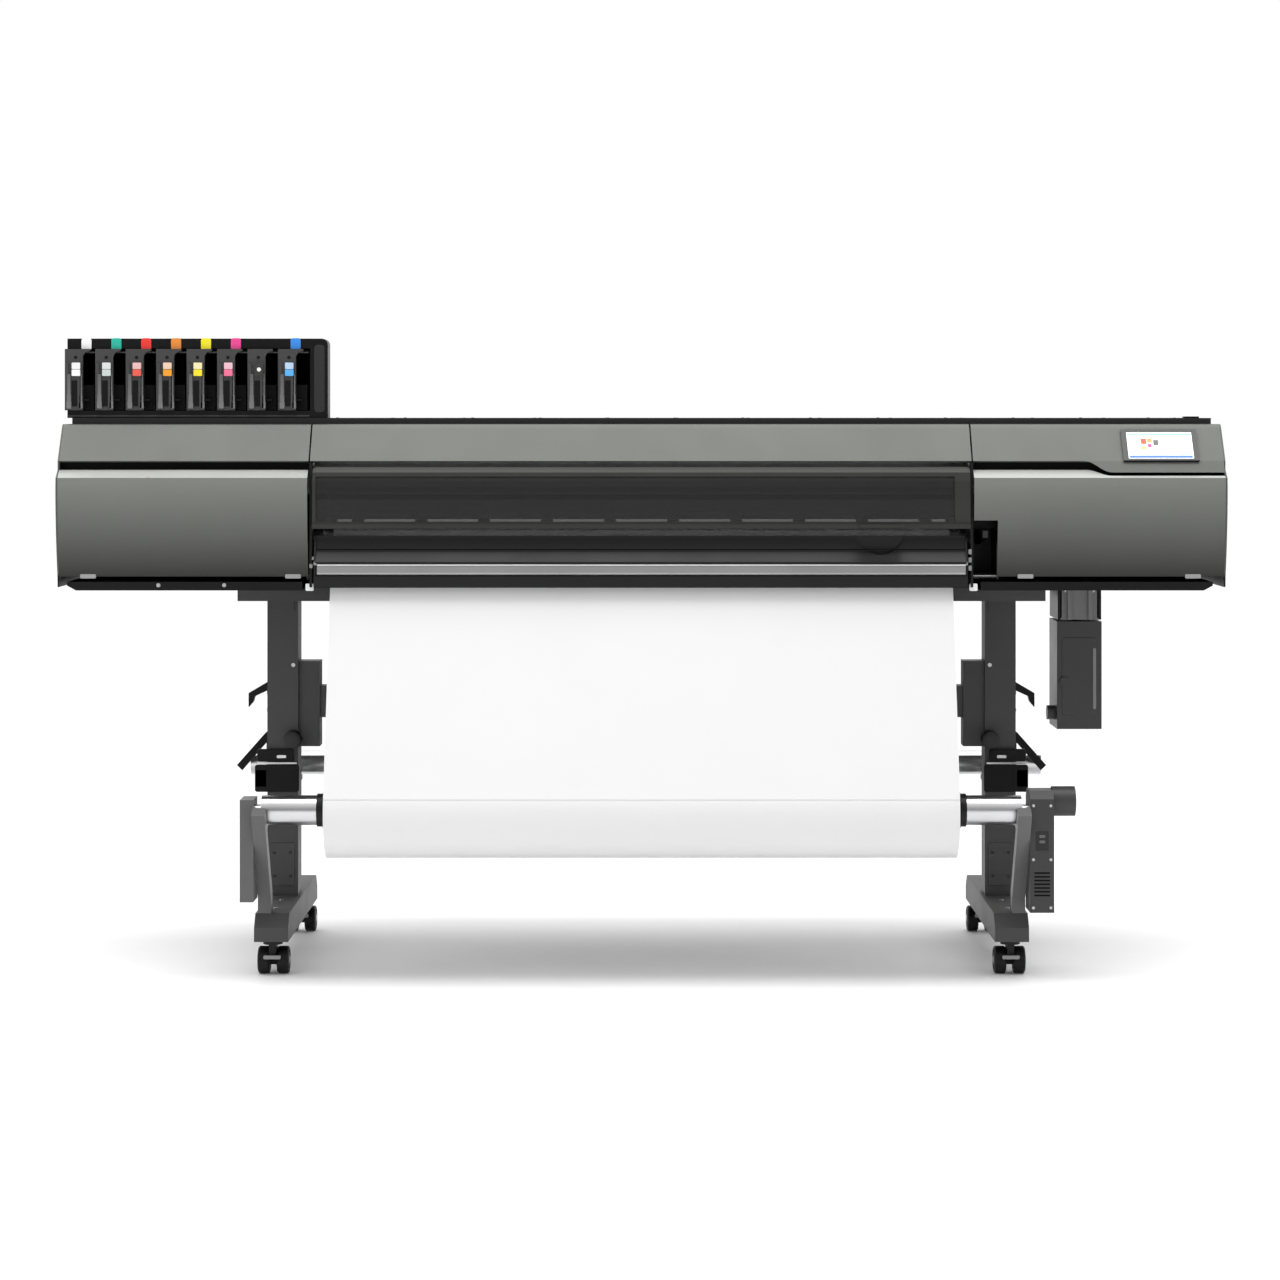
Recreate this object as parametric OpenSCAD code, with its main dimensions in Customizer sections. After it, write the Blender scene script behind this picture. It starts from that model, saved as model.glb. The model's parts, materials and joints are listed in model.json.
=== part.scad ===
// Wide-format printer cutter on a caster stand: roll-fed media, moving print and cut
// carriages, ink tray rack, front window cover, take-up roll and drain unit.
// Millimetres. +X right, +Y to the rear, +Z up. Origin on the floor, centred under the machine.

/* [Overall] */
// Width over the two end covers
body_w = 2860; // [2800:10:2900]
// Width of the media web
media_w = 1524; // [1200:4:1524]
// Thickness of the covers' sheet
sheet_t = 3; // [2:0.5:4]

/* [Heights] */
// Underside of the base pan above the floor
pan_z = 937; // [930:1:940]
// Lower edge of the service covers
cover_z = 971; // [970:1:975]
// Upper face of the platen
platen_z = 1082; // [1080:1:1084]
// Lower edge of the bright bevel on the service covers
bevel_z = 1213; // [1205:1:1218]
// Upper edge of the service covers
groove_z = 1232; // [1228:1:1236]
// Lower edge of the upper covers
upper_z = 1254; // [1250:1:1258]
// Upper edge of the sloped upper covers
crown_z = 1344; // [1338:1:1350]
// Height of the top deck above the crown
deck_h = 15; // [12:1:20]
// Height of the ink rack above the deck
rack_h = 197; // [190:1:210]

/* [Depths] */
// Most forward line of the service covers
front_y = -330; // [-335:1:-325]
// Rear face of the body
rear_y = 230; // [228:1:232]

/* [Rolls] */
// Radius of the take-up roll of media
takeup_r = 115; // [90:1:115]
// Radius of the supply roll of media
supply_r = 125; // [110:1:125]
// Radius of the take-up tube
takeup_tube_r = 36; // [30:1:38]
// Radius of the supply tube
supply_tube_r = 32; // [28:1:34]

/* [Stand] */
// Centre of each post from the middle of the stand
post_x = 908; // [900:1:912]
// Half length of each foot
foot_y = 350; // [345:1:380]
// Radius of the caster wheels
wheel_r = 33; // [30:1:34]

/* [Hidden] */
$fn = 48;

run = 0.05;                          // radial clearance of a running fit
gap = 0.3;                           // air between bodies that move apart
half_w = body_w / 2;
deck_z = crown_z + deck_h;
rack_z = deck_z + rack_h;
end_t = 4;                           // thickness of the end covers

// section edges along X
left_x = -816;                       // right edge of the left section
mid_x0 = -812;
mid_x1 = 808;
right_x = 812;                       // left edge of the right section
frame_x0 = 806;                      // side frames, inner and outer face
frame_x1 = 812;

// profile lines in the YZ plane
bevel_y = front_y + 30;
crown_y = -235;
crown_back_y = -205;
bulge_z = 1190;                      // height of the service covers' most forward line
hinge_y = -292;                      // service cover hinge
hinge_z = 970;
lid_y = -297;                        // front cover hinge
lid_z = 1243;
pin_r = 4;

// drives and rollers
beam_y0 = 10;
beam_y1 = 100;
beam_z0 = 1165;
beam_z1 = 1285;
rail_z0 = 1215;
rail_z1 = 1235;
belt_y = 55;
belt_r = 27.8;
belt_end_x = 1300;
grit_y = -20;
grit_r = 9;
grit_z = platen_z - grit_r;
media_t = 0.6;
web_z = platen_z + gap + media_t / 2;
pinch_r = 10;
pinch_z = web_z + media_t / 2 + gap + pinch_r;
pinch_pivot_y = 60;
pinch_pivot_z = 1112;
pinch_xs = [for (i = [0:9]) -720 + 160 * i];
lever_x0 = 833;
lever_x1 = 847;
lever_y = -150;
lever_z = 1060;

// rolls
takeup_y = -372;
takeup_z = 408;
supply_y = 362;
supply_z = 443;
guide_r = 19;                        // rounded edges that the web turns over
web_r = guide_r + gap + media_t / 2;
guide_z = platen_z - guide_r;
guide_front_y = -205;
guide_rear_y = supply_y - supply_r - gap - media_t / 2 - web_r;
outlet_y = -306;                     // web leaves the body under the apron
outlet_z = 945;

// carriages at rest
print_x = 1050;
cut_x = -1050;

// ink rack
rack_x0 = -1424;
rack_x1 = -778;
rack_front_y = -200;
rack_back_y = 180;
tray_x = -1406;
tray_pitch = 75.4;
tray_z = deck_z + 20;
tray_w = 44;

// stand
foot_z0 = 84;
foot_z1 = 150;
caster_x = 900;
caster_y = 320;
stem_r = 6;

// power switch on the back
switch_x = 1202;
switch_y = 222;
switch_z = 1015;

function arc(cy, cz, r, a0, a1, n) =
    [for (i = [0:n]) let (a = a0 + (a1 - a0) * i / n) [cy + r * cos(a), cz + r * sin(a)]];
function back(pts) = [for (i = [len(pts) - 1:-1:0]) pts[i]];
function shifted(pts, d) = [for (p = pts) p + d];
function dir(a, b) = (b - a) / norm(b - a);

// points of a path moved sideways by d, square to the path
function beside(pts, d) = [
    for (i = [0:len(pts) - 1])
        let (a = pts[max(i - 1, 0)], b = pts[min(i + 1, len(pts) - 1)], t = dir(a, b))
            pts[i] + d * [-t[1], t[0]]
];

module box(x0, x1, y0, y1, z0, z1) {
    translate([x0, y0, z0]) cube([x1 - x0, y1 - y0, z1 - z0]);
}

// outline in the YZ plane drawn out along X
module prism_x(x0, x1, pts) {
    translate([x0, 0, 0]) rotate([90, 0, 90]) linear_extrude(x1 - x0) polygon(pts);
}

// outline in the XZ plane drawn out along Y
module prism_y(y0, y1, pts) {
    translate([0, y1, 0]) rotate([90, 0, 0]) linear_extrude(y1 - y0) polygon(pts);
}

// bent sheet: the outer line, and the same line shifted inwards by d
module sheet_x(x0, x1, pts, d) {
    prism_x(x0, x1, concat(pts, back(shifted(pts, d))));
}

module rod_x(x0, x1, y, z, r) {
    translate([x0, y, z]) rotate([0, 90, 0]) cylinder(h = x1 - x0, r = r);
}

module rod_y(y0, y1, x, z, r) {
    translate([x, y1, z]) rotate([90, 0, 0]) cylinder(h = y1 - y0, r = r);
}

module rod_z(z0, z1, x, y, r) {
    translate([x, y, z0]) cylinder(h = z1 - z0, r = r);
}

// hollow box with open ends along Z
module tube_z(x0, x1, y0, y1, z0, z1, t) {
    difference() {
        box(x0, x1, y0, y1, z0, z1);
        box(x0 + t, x1 - t, y0 + t, y1 - t, z0 - 1, z1 + 1);
    }
}

// ---- stand ----

// one welded leg: post, inner gusset, top channel and foot, drawn on the right-hand side
module leg() {
    post0 = post_x - 39;
    post1 = post_x + 39;
    color("dimgray") {
        tube_z(post0, post1, -40, 40, foot_z1, pan_z - 4, 3);
        difference() {
            box(815, post0, -30, 30, 527, 743);
            box(818, post0 + 1, -27, 27, 530, 740);
        }
        difference() {
            box(771, 1006, -170, 170, pan_z - 34, pan_z);
            box(774, 1003, -167, 167, pan_z - 35, pan_z - 4);
        }
        difference() {
            prism_x(860, 943, [
                [-foot_y, foot_z0], [foot_y, foot_z0], [foot_y, 118],
                [foot_y - 28, foot_z1], [28 - foot_y, foot_z1], [-foot_y, 118]
            ]);
            box(864, 939, -285, 285, foot_z0 - 1, foot_z1 - 4);
            for (s = [-1, 1])
                rod_z(foot_z0 - 1, 136, caster_x, s * caster_y, stem_r + run);
        }
    }
}

module left_leg() {
    mirror([1, 0, 0]) leg();
}

module right_leg() {
    leg();
}

module stand_beam() {
    color("dimgray") difference() {
        box(-815, 815, -25, 25, 600, 680);
        box(-816, 816, -22, 22, 603, 677);
    }
}

// fixed-height twin-wheel caster: sx and sy pick the corner, the wheels trail backwards
module caster_fork(sx, sy) {
    x = sx * caster_x;
    y = sy * caster_y;
    color("black") {
        rod_z(foot_z0 - gap - 8, foot_z0 - gap, x, y, 24);
        rod_z(foot_z0 - gap, 132, x, y, stem_r);
        prism_x(x - 8.5, x + 8.5, concat(
            [[y - 20, foot_z0 - gap - 8], [y - 14, 40]],
            arc(y + 22, wheel_r, 12, 190, 350, 8),
            [[y + 36, 62], [y + 24, foot_z0 - gap - 8]]
        ));
        rod_x(x - 36, x + 36, y + 22, wheel_r, 4);
    }
}

module caster_wheels(sx, sy) {
    x = sx * caster_x;
    y = sy * caster_y + 22;
    color([0.08, 0.08, 0.09])
    for (s = [-1, 1])
        translate([x + s * 23.5, y, wheel_r])
        rotate([0, 90, 0])
        difference() {
            rotate_extrude() polygon([
                [4 + run, -14], [18, -14], [19, -11], [24, -11], [25, -14], [wheel_r - 3, -14],
                [wheel_r, -11], [wheel_r, 11], [wheel_r - 3, 14], [25, 14], [24, 11],
                [19, 11], [18, 14], [4 + run, 14]
            ]);
        }
}

module caster_fork_fl() { caster_fork(-1, -1); }
module caster_fork_fr() { caster_fork(1, -1); }
module caster_fork_rl() { caster_fork(-1, 1); }
module caster_fork_rr() { caster_fork(1, 1); }
module caster_wheels_fl() { caster_wheels(-1, -1); }
module caster_wheels_fr() { caster_wheels(1, -1); }
module caster_wheels_rl() { caster_wheels(-1, 1); }
module caster_wheels_rr() { caster_wheels(1, 1); }

// ---- body frame ----

// floor tray with low walls, open in front where the web comes out, and two guide posts
module base_pan() {
    x0 = 24 - half_w;
    x1 = half_w - 32;
    color([0.05, 0.05, 0.05]) {
        difference() {
            prism_y(-306, 220, [
                [x0 + 22, pan_z], [x1 - 22, pan_z], [x1, pan_z + 12], [x1, pan_z + 21],
                [x0, pan_z + 21], [x0, pan_z + 12]
            ]);
            prism_y(-303, 217, [
                [x0 + 23, pan_z + 4], [x1 - 23, pan_z + 4], [x1 - 3, pan_z + 14],
                [x1 - 3, pan_z + 22], [x0 + 3, pan_z + 22], [x0 + 3, pan_z + 14]
            ]);
            box(-830, 830, -310, -200, pan_z - 1, pan_z + 22);
        }
        for (x = [print_x - 60, print_x + 60])
            rod_z(pan_z + 3, 1045, x, -130, 8);
    }
}

// two plates either side of the media path, open where the carriages pass through
module side_frames() {
    color([0.12, 0.12, 0.12])
    for (s = [-1, 1])
        difference() {
            prism_x(s > 0 ? mid_x1 - 3 : -frame_x1, s > 0 ? mid_x1 + 3 : -frame_x0, [
                [-312, 945], [217, 945], [217, crown_z - 8], [-232, crown_z - 8],
                [-290, upper_z + 2], [-292, upper_z - 5], [-312, upper_z - 5]
            ]);
            box(-830, 830, -275, 8, platen_z - 2, crown_z - 30);
            box(-830, 830, 0, 104, beam_z0, crown_z - 30);
            rod_x(-830, 830, grit_y, grit_z, stem_r + run);
            rod_x(-830, 830, pinch_pivot_y, pinch_pivot_z, 8 + run);
            rod_x(-830, 830, hinge_y, hinge_z, pin_r + run);
            rod_x(-830, 830, lid_y, lid_z, pin_r + run);
            rod_x(-830, 830, lever_y, lever_z, stem_r + run);
        }
}

// hollow aluminium beam with the carriage rail on its front and a stud for the idler
module main_beam() {
    x1 = belt_end_x + 40;
    color("silver") {
        difference() {
            box(-x1, x1, beam_y0, beam_y1, beam_z0, beam_z1);
            box(-x1 - 1, x1 + 1, beam_y0 + 4, beam_y1 - 4, beam_z0 + 4, beam_z1 - 4);
            rod_z(beam_z0 - 1, beam_z1 + 1, belt_end_x, belt_y, stem_r + run);
        }
        box(-x1 + 40, x1 - 40, beam_y0 - 16, beam_y0, rail_z0, rail_z1);
        rod_z(beam_z1 - 4, beam_z1 + 23, -belt_end_x, belt_y, stem_r);
    }
}

// flat print bed in two halves with a slot for the grit roller, on upright ribs
module platen() {
    x1 = media_w / 2 + 23;
    color([0.3, 0.3, 0.31]) {
        difference() {
            union() {
                box(-x1, x1, guide_front_y, guide_rear_y, platen_z - 8, platen_z);
                rod_x(-x1, x1, guide_front_y, guide_z, guide_r);
                rod_x(-x1, x1, guide_rear_y, guide_z, guide_r);
                for (i = [-2:2])
                    box(350 * i - 2, 350 * i + 2, guide_front_y + 6, guide_rear_y - 30,
                        pan_z + 4, platen_z - 4);
            }
            box(-x1 - 1, x1 + 1, grit_y - 10.5, grit_y + 10.5, platen_z - 24, platen_z + 1);
        }
    }
}

module front_apron() {
    x0 = mid_x0 + 12;
    x1 = mid_x1 - 12;
    flare = [for (i = [0:10]) [-300 - 32 * pow(i / 10, 2), 1071 - 6.5 * i]];
    color([0.1, 0.1, 0.1])
    difference() {
        union() {
            sheet_x(x0, x1, flare, [sheet_t, 0]);
            box(x0, x1, -332, -322, 1000, 1008);
            prism_x(x0 + 9, x1 - 6, concat(
                [[-322, 976]], arc(-332, 982, 6, 270, 180, 6), arc(-332, 997, 6, 180, 90, 6),
                [[-322, 1003]]
            ));
            box(x0, x1, -326, -316, 950, 1006);
            box(x0, x1, -332, -318, 945, 973);
            for (x = [x0, x1 - 4])
                prism_x(x, x + 4, [[-316, 945], [-290, 945], [-290, 1071], [-300, 1071],
                    [-328, 1012], [-328, 945]]);
            box(505, 663, -296, -292, 1010, 1071);
            box(505, 663, -325, -292, 1010, 1014);
        }
        rod_y(-340, -296, 584, 1088, 63);
    }
}

// ---- outer covers ----

upper_line = [[bevel_y, upper_z], [crown_y - 6, crown_z - 8], [crown_y, crown_z - 2],
    [crown_y + 6, crown_z], [crown_back_y, crown_z]];
service_line = concat(
    [[bevel_y, groove_z], [front_y + 2, bevel_z]],
    [for (i = [0:8]) let (t = i / 8)
        [front_y + 28 * t * t, bulge_z - (bulge_z - cover_z) * t]]
);

module upper_cover(x0, x1) {
    sheet_x(x0, x1, upper_line, [sheet_t, -sheet_t]);
}

module left_upper_cover() {
    color([0.5, 0.51, 0.49]) upper_cover(end_t - half_w, left_x);
}

module top_cover() {
    color([0.47, 0.48, 0.46]) upper_cover(mid_x0, mid_x1);
}

// the panel side carries a skirt whose lower edge runs down in an S to the screen's corner
module right_upper_cover() {
    bend0 = 1085;
    bend1 = 1150;
    drop = 28;
    x1 = half_w - end_t;
    color([0.55, 0.56, 0.54])
    difference() {
        union() {
            upper_cover(right_x, x1);
            intersection() {
                sheet_x(bend0, x1, [[bevel_y, upper_z], [bevel_y - 17, upper_z - drop]],
                    [sheet_t, 0]);
                prism_y(front_y, bevel_y + 8, concat(
                    [[bend0, upper_z]],
                    [for (i = [0:12]) let (t = i / 12)
                        [bend0 + (bend1 - bend0) * t,
                            upper_z - 0.5 - (drop - 0.5) * (1 - cos(180 * t)) / 2]],
                    [[x1, upper_z - drop], [x1, upper_z]]
                ));
            }
        }
        translate([1273, 0, 0])
            box(-90, 90, -320, -244, upper_z + 6, crown_z - 24);
    }
}

module end_cover(x0, x1) {
    color([0.33, 0.34, 0.33])
    difference() {
        prism_x(x0, x1, concat(
            [[-300, pan_z + 8], [rear_y - 4, pan_z + 8], [rear_y - 4, crown_z]],
            back(upper_line), service_line
        ));
        rod_x(x0 - 1, x1 + 1, hinge_y, hinge_z, pin_r + run);
    }
}

module left_end_cover() {
    end_cover(-half_w, end_t - half_w);
}

module right_end_cover() {
    end_cover(half_w - end_t, half_w);
}

// back panel with the media inlet slot, the power switch well and the power inlet
module rear_cover() {
    slot_x = media_w / 2 + 33;
    color([0.16, 0.16, 0.16]) {
        difference() {
            box(-half_w, half_w, rear_y - 4, rear_y, pan_z + 8, crown_z);
            box(-slot_x, slot_x, rear_y - 5, rear_y + 1, 1036, 1094);
            box(switch_x - 13, switch_x + 13, rear_y - 5, rear_y + 1,
                switch_z - 17, switch_z + 17);
            box(switch_x + 40, switch_x + 68, rear_y - 5, rear_y + 1,
                switch_z - 12, switch_z + 12);
        }
        difference() {
            box(switch_x - 20, switch_x + 75, rear_y - 34, rear_y - 4,
                switch_z - 24, switch_z + 24);
            box(switch_x - 13, switch_x + 13, rear_y - 30, rear_y - 3,
                switch_z - 17, switch_z + 17);
            box(switch_x + 40, switch_x + 68, rear_y - 26, rear_y - 3,
                switch_z - 12, switch_z + 12);
        }
        for (dx = [47, 54, 61])
            box(switch_x + dx - 1, switch_x + dx + 1, rear_y - 27, rear_y - 10,
                switch_z - 3, switch_z + 3);
    }
}

module top_deck() {
    color([0.2, 0.2, 0.2])
    difference() {
        box(20 - half_w, half_w - 20, -212, rear_y - 4, crown_z, deck_z);
        box(23 - half_w, half_w - 23, -209, rear_y - 7, crown_z - 1, deck_z - sheet_t);
    }
}

// ---- ink supply ----

// open rack: base, walls, dividers and a top band; the bays hold the sliding trays
module ink_rack() {
    bay_z1 = rack_z - 24;
    house_y1 = rack_front_y + 60;
    color([0.06, 0.06, 0.06]) {
        difference() {
            union() {
                box(rack_x0, -818, rack_front_y, rack_back_y, deck_z, deck_z + 18);
                box(-820, rack_x1, rack_front_y, house_y1, deck_z, deck_z + 18);
            }
            box(rack_x0 + 4, -822, rack_front_y + 4, rack_back_y - 4,
                deck_z - 1, deck_z + 14);
        }
        box(rack_x0, rack_x0 + 4, rack_front_y, rack_back_y, deck_z + 18, rack_z);
        box(rack_x0 + 4, -818, rack_back_y - 4, rack_back_y, deck_z + 18, rack_z - 4);
        for (i = [0:6])
            box(tray_x + tray_pitch * i + 54, tray_x + tray_pitch * i + 56,
                rack_front_y + 4, rack_back_y - 4, deck_z + 18, bay_z1);
        box(rack_x0 + 4, -818, rack_front_y, rack_back_y, rack_z - 4, rack_z);
        box(rack_x0 + 4, -818, rack_front_y, rack_front_y + 6, bay_z1, rack_z - 4);
        difference() {
            prism_y(rack_front_y, house_y1, concat(
                [[-822, deck_z + 18], [rack_x1, deck_z + 18]],
                arc(rack_x1 - 16, rack_z - 16, 16, 0, 90, 8),
                [[-822, rack_z]]
            ));
            box(-818, rack_x1 - 4, rack_front_y + 4, house_y1 + 1,
                deck_z + 18, rack_z - 20);
        }
        box(-822, -818, house_y1, rack_back_y, deck_z + 18, rack_z - 4);
    }
}

// drawer for one ink pouch, with a ribbed front panel
module ink_tray(n) {
    x = tray_x + tray_pitch * (n - 1);
    front_z1 = rack_z - 26;
    color([0.25, 0.25, 0.25]) {
        difference() {
            box(x - 12, x + 48, rack_front_y - 1, 150, tray_z, tray_z + 62);
            box(x - 9.5, x + 45.5, rack_front_y + 3, 147, tray_z + 3, tray_z + 63);
        }
        prism_y(rack_front_y - 14, rack_front_y - 0.5, concat(
            [[x - tray_w / 2, tray_z - 1], [x + tray_w / 2, tray_z - 1]],
            arc(x + tray_w / 2 + 16, front_z1 - 22, 16, 180, 90, 6),
            [[x + 40, front_z1 - 6], [x + 40, front_z1], [x - tray_w / 2, front_z1]]
        ));
        for (dx = [-16, 14])
            box(x + dx - 4, x + dx + 4, rack_front_y - 18, rack_front_y - 14,
                tray_z + 4, front_z1 - 34);
    }
}

module ink_tray_1() { ink_tray(1); }
module ink_tray_2() { ink_tray(2); }
module ink_tray_3() { ink_tray(3); }
module ink_tray_4() { ink_tray(4); }
module ink_tray_5() { ink_tray(5); }
module ink_tray_6() { ink_tray(6); }
module ink_tray_7() { ink_tray(7); }
module ink_tray_8() { ink_tray(8); }

// drain unit under the right-hand end
drain_x = 1098;
drain_z = 853;                       // lower edge of its bracket

module drain_holder() {
    color([0.35, 0.35, 0.35]) {
        difference() {
            box(drain_x - 53, drain_x + 54, -110, 50, drain_z, pan_z);
            box(drain_x - 48, drain_x + 49, -111, 51, drain_z + 5, pan_z - 4);
        }
        for (x = [drain_x - 30, drain_x + 22])
            box(x, x + 10, -118, -110, drain_z, pan_z - 10);
    }
}

module drain_bottle() {
    color([0.12, 0.12, 0.12])
    difference() {
        union() {
            box(drain_x - 55, drain_x + 57, -105, 45, 578, drain_z - 5);
            rod_z(drain_z - 5, drain_z - 1, drain_x, -30, 18);
            rod_y(-112, -105, drain_x - 37, 697, 12);
            rod_x(drain_x - 75, drain_x - 54, -60, 616, 18);
        }
        box(drain_x - 51, drain_x + 53, -101, 41, 582, drain_z - 9);
        rod_z(drain_z - 13, drain_z, drain_x, -30, 10);
    }
}

// ---- operator side ----

slope = [crown_y - 6 - bevel_y, crown_z - 8 - upper_z];
slope_u = slope / norm(slope);
slope_n = [-slope_u[1], slope_u[0]];

// point s along the sloped face and d proud of it
function on_slope(s, d) = [bevel_y, upper_z] + s * slope_u + d * slope_n;

module slope_block(x0, x1, s0, s1, d0, d1) {
    prism_x(x0, x1, [on_slope(s0, d0), on_slope(s1, d0), on_slope(s1, d1), on_slope(s0, d1)]);
}

module touch_screen() {
    x0 = 1180;
    x1 = 1366;
    color([0.07, 0.07, 0.08]) {
        difference() {
            slope_block(x0, x1, -3, 91, 0, 7);
            slope_block(x0 + 12, x1 - 12, 2, 83, 5.5, 8);
        }
        slope_block(x0 + 8, x1 - 8, 13, 80, -16, 0.5);
    }
}

lid_line = [[-300, 1240], [-318, 1226], [-324, 1205], [-326, 1160], [-326, 1091]];

// hinged cover over the print bed; the pane sits behind its opening
module front_cover() {
    x0 = mid_x0 + 8;
    x1 = mid_x1 - 5;
    color([0.24, 0.25, 0.24]) {
        difference() {
            sheet_x(x0, x1, lid_line, [4, 0]);
            box(x0 + 8, x1 - 38, -340, -300, 1106, 1216);
        }
        box(x0, x1, -332, -324, 1089, 1101);
        box(531, 640, -346, -332, 1092, 1100);
        for (x = [x0, x1 - 4]) {
            prism_x(x, x + 4, concat(lid_line, [[-312, 1091], [-308, 1200], [-291, 1236]]));
            rod_x(x, x + 4, lid_y, lid_z, 7);
        }
        rod_x(x0 - 7, x0, lid_y, lid_z, pin_r);
        rod_x(x1, x1 + 7, lid_y, lid_z, pin_r);
    }
}

module front_window() {
    color([0.1, 0.1, 0.1, 0.6])
        sheet_x(mid_x0 + 12, mid_x1 - 37, [[-315.1, 1222], [-320, 1205], [-322, 1160], [-322, 1102]],
            [3, 0]);
}

// bulged panel with a rib and a hinge lug at each end
module service_skin(x0, x1, lug_x) {
    sheet_x(x0, x1, service_line, [sheet_t, 0]);
    for (x = lug_x) {
        rod_x(x, x + 4, hinge_y, hinge_z, 8);
        prism_x(x, x + 4, [[front_y + 29, cover_z], [hinge_y + 6, hinge_z + 4],
            [hinge_y + 2, 1050], [front_y + 12, 1060]]);
    }
}

module left_service_cover() {
    x0 = end_t + 0.5 - half_w;
    color([0.42, 0.43, 0.42]) {
        service_skin(x0, left_x, [x0, left_x - 4]);
        rod_x(x0 - 3.5, x0, hinge_y, hinge_z, pin_r);
        rod_x(left_x, left_x + 9, hinge_y, hinge_z, pin_r);
    }
}

// the panel side is notched for the loading lever and follows the skirt along its top
module right_service_cover() {
    x1 = half_w - end_t - 0.5;
    notch_x = 870;
    color([0.42, 0.43, 0.42]) {
        difference() {
            service_skin(right_x, x1, [notch_x, x1 - 4]);
            box(right_x - 1, notch_x, -340, -280, cover_z - 12, 1109);
            prism_y(-340, -290, concat(
                [for (i = [0:12]) let (t = i / 12)
                    [1085 + 65 * t, groove_z + 1 - 15 * (1 - cos(180 * t)) / 2]],
                [[x1 + 1, groove_z - 14], [x1 + 1, upper_z + 5], [1085, upper_z + 5]]
            ));
        }
        rod_x(mid_x1 - 2, notch_x, hinge_y, hinge_z, pin_r);
        rod_x(x1, x1 + 3.5, hinge_y, hinge_z, pin_r);
    }
}

module loading_lever() {
    color([0.05, 0.05, 0.05]) {
        rod_x(lever_x0, lever_x1, lever_y, lever_z, 16);
        rod_x(mid_x1 - 2, lever_x0, lever_y, lever_z, stem_r);
        prism_x(lever_x0, lever_x1, [[lever_y, lever_z - 12], [-300, 1062], [-318, 1066],
            [-318, 1084], [-300, 1082], [lever_y, lever_z + 12]]);
    }
}

// ---- print and cut mechanism ----

// block that hangs on the rail: lower front body, raised rear body and rail jaws
module carriage_body(x, w) {
    box(x - w, x + w, -200, -62, 1100, 1290);
    box(x - w, x + w, -63, -12, 1140, 1290);
    for (z = [rail_z0 - 15, rail_z1 + 3])
        box(x - w + 20, x + w - 20, -13, 6, z, z + 12);
}

module print_carriage() {
    color([0.15, 0.15, 0.16]) {
        carriage_body(print_x, 130);
        box(print_x - 60, print_x + 60, -63, belt_y - belt_r - 2.5, beam_z1 + 5, beam_z1 + 21);
        for (s = [-1, 1]) {
            translate([print_x + s * 60, 0, 0]) box(-40, 40, -180, -90, 1088, 1101);
            translate([print_x + s * 159, 0, 0]) box(-30, 30, -190, -80, 1092, 1200);
        }
    }
}

module cut_carriage() {
    color([0.6, 0.6, 0.62])
    difference() {
        carriage_body(cut_x, 60);
        rod_z(1099, 1201, cut_x, -150, 9 + run);
    }
}

module blade_holder() {
    color("silver") {
        rod_z(1095, 1196, cut_x, -150, 9);
        rod_z(1089, 1096, cut_x, -150, 2);
    }
}

module grit_roller() {
    x1 = media_w / 2 + 22;
    color([0.55, 0.55, 0.56]) {
        rod_x(-x1, x1, grit_y, grit_z, grit_r);
        rod_x(-frame_x1 + 1, -x1, grit_y, grit_z, stem_r);
        rod_x(x1, 860, grit_y, grit_z, stem_r);
        difference() {
            rod_x(848, 858, grit_y, grit_z, 25);
            rod_x(847, 859, grit_y, grit_z, stem_r + run);
        }
    }
}

// pivot shaft with one forked arm for each pinch roller
module pinch_arms() {
    color([0.35, 0.35, 0.36])
    difference() {
        union() {
            rod_x(-frame_x1 + 1, mid_x1 + 2, pinch_pivot_y, pinch_pivot_z, 8);
            for (x = pinch_xs) {
                rod_x(x - 12, x + 12, pinch_pivot_y, pinch_pivot_z, 14);
                prism_x(x - 6, x + 6, [[60, 1100], [60, 1124], [0, 1117], [0, 1104]]);
                box(x - 15, x + 15, -2, 8, 1105, 1116);
                for (x0 = [x - 15, x + 11])
                    prism_x(x0, x0 + 4, [[-27, 1089], [-14, 1087], [8, 1104], [8, 1116],
                        [-6, 1116], [-27, 1099]]);
            }
        }
        for (x = pinch_xs)
            rod_x(x - 16, x + 16, grit_y, pinch_z, 3 + run);
    }
}

module pinch_rollers() {
    color([0.1, 0.1, 0.1])
    for (x = pinch_xs) {
        rod_x(x - 10.5, x + 10.5, grit_y, pinch_z, pinch_r);
        rod_x(x - 15, x + 15, grit_y, pinch_z, 3);
    }
}

module pulley(x) {
    rod_z(beam_z1 + 5, beam_z1 + 21, x, belt_y, belt_r - gap);
    for (z = [beam_z1 + 4, beam_z1 + 19])
        rod_z(z, z + 2, x, belt_y, belt_r + 3);
}

module drive_pulley() {
    color([0.7, 0.7, 0.7]) {
        pulley(belt_end_x);
        rod_z(1120, beam_z1 + 21, belt_end_x, belt_y, stem_r);
    }
}

module idler_pulley() {
    color([0.7, 0.7, 0.7])
    difference() {
        pulley(-belt_end_x);
        rod_z(beam_z1, beam_z1 + 30, -belt_end_x, belt_y, stem_r + run);
    }
}

// closed belt: straight runs with half rounds at the ends
module belt_shape(r) {
    translate([-belt_end_x, -r]) square([2 * belt_end_x, 2 * r]);
    for (s = [-1, 1])
        translate([s * belt_end_x, 0]) circle(r);
}

module drive_belt() {
    color([0.05, 0.05, 0.05])
    translate([0, belt_y, beam_z1 + 8])
    linear_extrude(9)
    difference() {
        belt_shape(belt_r + 2);
        belt_shape(belt_r);
    }
}

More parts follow.
